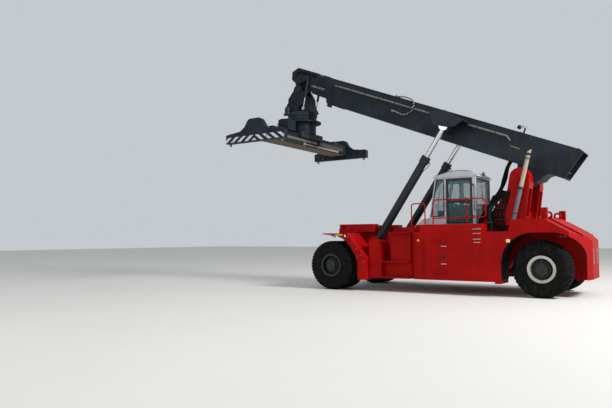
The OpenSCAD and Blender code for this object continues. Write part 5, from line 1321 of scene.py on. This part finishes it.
# Treads: raised lozenges on deck, tank and steps
def lozenges(x0, x1, y0, y1, z, pitch=0.055):
    """Raised bars of a checker plate, each leaning the other way from its neighbours, cut from one grid."""
    out = []
    for i, x in enumerate(np.arange(x0 + pitch / 2, x1, pitch)):
        for j, y in enumerate(np.arange(y0 + pitch / 2, y1, pitch)):
            lean = 1 if (i + j) % 2 else -1
            along = np.array((0.017, 0.017 * lean))
            side = np.array((-along[1], along[0])) * 0.28
            corners = [np.array((x, y)) + d for d in (along, side, -along, -side)]
            out.append(plate(from_side(corners), z, z + 0.003, "z", 0.0005))
    return out


UPPER_STEP, LOWER_STEP = 0.950, 0.460
floors = lozenges(-4.62, -3.10, 0.84, 1.52, DECK_Z) + lozenges(-2.62, -1.74, 1.28, 1.80, UPPER_STEP)
floors += lozenges(-3.30, -2.70, 1.30, 1.52, TANK_TOP) + lozenges(-2.62, -1.74, 1.60, 1.82, LOWER_STEP)
piece("tread_bars", "chassis", TREAD_PLATE, both(floors))

# Mudguards: reflector strip, bracket, flange bolts and lamps
GUARD_Y = 2.100
LAMP_X, LAMP_Z = -0.58, 1.760
strip = block(at(-0.47, GUARD_Y, 1.775), at(-0.20, GUARD_Y + 0.006, 1.815), 0.002)
piece("guard_reflectors", "chassis", YELLOW, both([strip]))
bracket = from_side(((-0.22, 1.70), (0.02, 1.79), (0.02, 1.835), (-0.22, 1.775)))
guard = [plate(bracket, GUARD_Y, GUARD_Y + 0.008, "y", 0.002)]
for x, z in ((-0.66, 1.72), (-0.82, 1.53), (-0.98, 1.33), (-1.13, 1.14), (-1.235, 0.95), (-1.235, 0.65)):
    guard += bolt(at(x, GUARD_Y, z), LEFT, 0.022, 0.012)
piece("guard_bolts", "chassis", STEEL, both(guard))
ring = turned([(0.046, 0), (0.046, 0.030), (0.038, 0.032)], at(LAMP_X, GUARD_Y, LAMP_Z), LEFT, 28)
piece("guard_lamp_rings", "chassis", DARK, both([ring]))
face = turned([(0.037, 0), (0.036, 0.008), (0.020, 0.012)], at(LAMP_X, GUARD_Y + 0.025, LAMP_Z), LEFT, 28)
piece("guard_lamp_glass", "chassis", CLEAR_LENS, both([face]))

# Tower: caps and bolts of the boom's pivot pin
keepers = []
for sign in (1, -1):
    keepers.append(turned([(0.070, 0), (0.070, 0.006), (0.060, 0.010)], at(PIVOT_X, sign * 1.020, PIVOT.z),
                          (0, sign, 0), 28))
    circle = ring_of(at(PIVOT_X, sign * 1.005, PIVOT.z), 0.130, 8, "y")
    keepers += bolts_at(circle, (0, sign, 0), 0.028, 0.016)
piece("pivot_pin_bolts", "chassis", RED, keepers)


# Tower: hoses up its front, in four bundles that meet on the left column
def inner_riser(k):
    """A hose from the deck, in a sheaf that leans back to the tower, and its fitting in the deck."""
    y = 0.52 + 0.030 * k
    out = 0.03 * math.sin(2.3 * k)
    top = -5.42 + 0.02 * (k % 3)
    hose = pipe([at(-4.60 + out, y, DECK_Z), at(-4.66 + out, y, 2.28), at(-4.80 + out, y, 2.50),
                 at(-5.02 + 0.5 * out, y, 2.76), at(-5.20, y, 2.96), at(top + 0.10, y, 3.10)],
                0.013 + 0.002 * (k % 3), spacing=0.04)
    return [hose, turned([(0.020, 0), (0.020, 0.03), (0.016, 0.035)], at(-4.60 + out, y, DECK_Z), UP, 6)]


def outer_riser(k):
    """A hose from the tank's top that bends inward to the tower."""
    y = 1.02 + 0.032 * k
    out = 0.035 * math.sin(1.7 * k)
    return [pipe([at(-5.05 + out, y, TANK_TOP), at(-5.04 + out, y + 0.01, 2.05), at(-5.00 + out, y, 2.30),
                  at(-5.02 + out, y - 0.03 * (k > 5), 2.52), at(-5.12 + out, 0.93 + 0.012 * k, 2.72),
                  at(-5.26 + out, 0.80 + 0.012 * k, 2.90), at(-5.40, 0.72 + 0.010 * k, 3.08)],
                 0.014 + 0.002 * (k % 2), spacing=0.04)]


def middle_riser(k):
    """A thick hose from the deck, just behind the sheaf."""
    back = 0.03 * k
    y = 0.80 + 0.028 * k
    return [pipe([at(-4.76 - back, y, DECK_Z), at(-4.79 - back, y, 2.34), at(-4.86 - back, y, 2.56),
                  at(-5.00 - back, y - 0.01, 2.76), at(-5.14 - back, y - 0.02, 2.90),
                  at(-5.28, y - 0.02, 3.02)], 0.017, spacing=0.04)]


def column_riser(k):
    """A hose on the column's outer face, the first eight in two layers."""
    x = -4.88 - 0.046 * k
    y = COLUMN_OUT + 0.022 + 0.030 * (k % 2) * (k < 8)
    sway = 0.014 * math.sin(2.9 * k)
    return [pipe([at(x, y, TANK_TOP), at(x + sway, y + 0.01, 2.12), at(x + 0.02 - sway, y, 2.40),
                  at(x - 0.05 + sway, y, 2.62), at(x - 0.11, y - 0.01, 2.80),
                  at(x - 0.16, y, 2.90 + 0.012 * k), at(x - 0.19, COLUMN_OUT + 0.004, 2.95 + 0.012 * k)],
                 0.015 + 0.002 * (k % 3), spacing=0.04)]


risers = []
for bundle, count in ((inner_riser, 16), (outer_riser, 11), (middle_riser, 6), (column_riser, 12)):
    for k in range(count):
        risers += bundle(k)
piece("tower_hoses", "chassis", HOSE, risers)
saddles = [block(at(-5.00, 0.50, 2.675), at(-4.96, 1.00, 2.79), 0.006),
           block(at(-5.09, 1.00, 2.10), at(-4.96, 1.36, 2.15), 0.006),
           block(at(-4.88, 0.79, 2.48), at(-4.70, 0.97, 2.66), 0.012),
           block(at(-5.40, COLUMN_OUT, 2.20), at(-4.87, COLUMN_OUT + 0.072, 2.225)),
           block(at(-5.43, COLUMN_OUT, 2.54), at(-4.90, COLUMN_OUT + 0.072, 2.565))]
piece("tower_hose_clamps", "chassis", DARK, saddles)

# Hoses from the deck to the boom's underside, on no body, with their places baked into their meshes
for k, y in enumerate((-0.10, -0.04, 0.02, 0.08, 0.14, 0.20)):
    wave = 0.02 * (k % 3)
    path = [at(-4.66, y, 2.090), at(-4.64, y, 2.30), at(-4.70, y, 2.62 + wave), at(-4.86, y, 2.93),
            at(-5.06, y, 3.23), at(-5.19 + wave, y, 3.53), at(-5.26, y, 3.86), at(-5.36, y, 4.05)]
    hose = piece("boom_feed_hose_%d" % (k + 1), None, HOSE, [pipe(path, 0.019, 10)])
    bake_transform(hose)

# Exhaust: joint sleeve, soot at its mouth, clamp rings, the sleeve's bolt and the foot's bolts
STACK_LEAN = math.radians(13.7)
STACK_FOOT = np.array(at(PIVOT_X + 0.24, COLUMN_OUT + 0.13, TANK_TOP))
STACK_DIR = np.array((-math.sin(STACK_LEAN), 0, math.cos(STACK_LEAN)))
SLEEVE_D = 1.3
SLEEVE = [(0.083, -0.033), (0.086, -0.024), (0.083, -0.018), (0.083, 0.018), (0.086, 0.024), (0.083, 0.033),
          (0.078, 0.033), (0.078, -0.033)]
SOOT = [(0.0632, 2.268), (0.0636, 2.300), (0.0632, 2.338), (0.0600, 2.338), (0.0600, 2.268)]
CLAMP = [(0.066, -0.012), (0.066, 0.012), (0.062, 0.014), (0.058, 0.014), (0.058, -0.014), (0.062, -0.014)]
sleeve_middle = STACK_FOOT + SLEEVE_D * STACK_DIR
stack = [hoop(SLEEVE, tuple(sleeve_middle), STACK_DIR), hoop(SOOT, tuple(STACK_FOOT), STACK_DIR)]
stack += [hoop(CLAMP, tuple(STACK_FOOT + d * STACK_DIR), STACK_DIR) for d in (0.55, 2.17)]
stack += bolt(tuple(sleeve_middle + (0, 0.085, 0)), LEFT, 0.03, 0.018)
for dx, dy in ((-0.035, -0.07), (0.075, -0.07), (-0.035, 0.07), (0.075, 0.07)):
    stack += bolt(tuple(STACK_FOOT + (dx, dy, 0.016)), UP, 0.020, 0.012)
piece("exhaust_clamps", "chassis", DARK, stack)

# Axle and front of the frame: bolts of the hub flanges, the differential and the cross plate
axle_bolts = []
for sign in (1, -1):
    axle_bolts += bolts_at(ring_of(at(0, sign * 0.300, WHEEL_R), 0.300, 16, "y"), (0, sign, 0), 0.030, 0.020)
axle_bolts += bolts_at(ring_of(at(-0.460, 0, WHEEL_R), 0.190, 10, "x"), BEHIND, 0.028, 0.018)
piece("axle_bolts", "chassis", STEEL, axle_bolts)
FRONT_FACE_X = 0.200
front_bolts = [at(FRONT_FACE_X, y, 1.95) for y in np.arange(-0.45, 0.46, 0.18)]
front_bolts += [at(FRONT_FACE_X, y, z) for y in (0.70, -0.70) for z in (1.60, 1.80)]
piece("front_frame_bolts", "chassis", STEEL, bolts_at(front_bolts, AHEAD, 0.030, 0.018))

# Right tank: ribbed filler cap and a drain
CAP_X, CAP_Y = -3.60, -1.50
filler = [turned([(0.010, 0), (0.010, 0.030)], spot, UP, 8)
          for spot in ring_of(at(CAP_X, CAP_Y, TANK_TOP + 0.092), 0.084, 12)]
filler.append(turned([(0.045, 0), (0.040, 0.012)], at(CAP_X, CAP_Y, TANK_TOP + 0.125), UP, 20))
filler.append(turned([(0.040, 0), (0.040, 0.02), (0.022, 0.03)], at(-4.40, -BODY_Y, 0.60), (0, -1, 0), 6))
piece("filler_and_drain", "chassis", DARK, filler)

# Hoses at the feet of the lift cylinders
foot_hoses = []
for k, (x, r) in enumerate(((-1.500, 0.017), (-1.540, 0.015), (-1.580, 0.017), (-1.620, 0.014))):
    y = 1.215 + 0.014 * k
    foot_hoses.append(pipe([at(-1.405, y, 1.500 - 0.05 * k), at(x + 0.05, y + 0.01, 1.540 - 0.05 * k),
                            at(x, y + 0.02, 1.480 - 0.04 * k), at(x - 0.02, y + 0.02, 1.240),
                            at(x - 0.02, y, 1.030 + 0.02 * k), at(x, y - 0.12, 0.930 + 0.02 * k),
                            at(x + 0.01, 0.824, 0.900 + 0.02 * k)], r, spacing=0.04))
piece("cylinder_foot_hoses", "chassis", HOSE, both(foot_hoses))

# A near-black sheet along the front half of each rear wheel arch, painted shade for the dark inside of the
# arch
ARCH_MID = REAR_AXLE_X + 0.150
ARCH_Z = 0.930
SHADE_SHEET_R = 0.890
SHADE_SHEET_FOOT = 0.480
SHADE_SHEET_WALL = 0.008


def arch_arc(radius):
    """Points round the front half of the arch, from level up to 88 degrees."""
    turn = np.radians(np.linspace(0, 88, 23))
    return [(ARCH_MID + radius * math.cos(a), ARCH_Z + radius * math.sin(a)) for a in turn]


shade_sheet = [(ARCH_MID + SHADE_SHEET_R, SHADE_SHEET_FOOT)] + arch_arc(SHADE_SHEET_R) + arch_arc(SHADE_SHEET_R - SHADE_SHEET_WALL)[::-1]
shade_sheet += [(ARCH_MID + SHADE_SHEET_R - SHADE_SHEET_WALL, SHADE_SHEET_FOOT)]
# Painted shade: black sheets inside the arches, where the arch is only in shade
piece("arch_shade_sheets", "chassis", HOSE, both([plate(shade_sheet, 1.02, BODY_Y - 0.035, "y", 0.0)]))


# Floor and light
FLOOR_SIZE = 160
SKY_STRENGTH = 0.75


def studio():
    """A pale floor, a soft key light, a broad fill and an even sky."""
    bpy.ops.mesh.primitive_plane_add(size=FLOOR_SIZE, location=(0, 0, 0))
    floor = bpy.context.object
    floor.name = "floor"
    mat, tree, place = new_material("pale_floor")
    clouds = add(tree, "TexNoise", cloudy(place, 4000, 3))
    cast = add(tree, "MapRange", (clouds, 0.3, 0.7, 0.0, 0.25), **SMOOTH)
    tone = add(tree, "Mix", {"Factor": cast, 6: linear("#d6d3ce"), 7: linear("#cbc8c3")}, **BLENDED)
    floor.data.materials.append(finished(mat, {"Base Color": tone, "Roughness": 0.9}))
    world = bpy.data.worlds.new("sky")
    world.use_nodes = True
    back = world.node_tree.nodes["Background"]
    back.inputs["Color"].default_value = linear("#dfe5ea")
    back.inputs["Strength"].default_value = SKY_STRENGTH
    bpy.context.scene.world = world
    for name, place, aim, power, size in (("key", (-22, 3, 17), (-1, 0, 2.5), 7500, 6),
                                          ("fill", (4, 24, 10), (0, 0, 3), 700, 12)):
        data = bpy.data.lights.new(name, "AREA")
        data.energy = power
        data.size = size
        lamp = bpy.data.objects.new(name, data)
        lamp.location = place
        lamp.rotation_euler = (Vector(aim) - Vector(place)).to_track_quat("-Z", "Y").to_euler()
        bpy.context.scene.collection.objects.link(lamp)
    bpy.context.scene.view_settings.view_transform = "Standard"


studio()
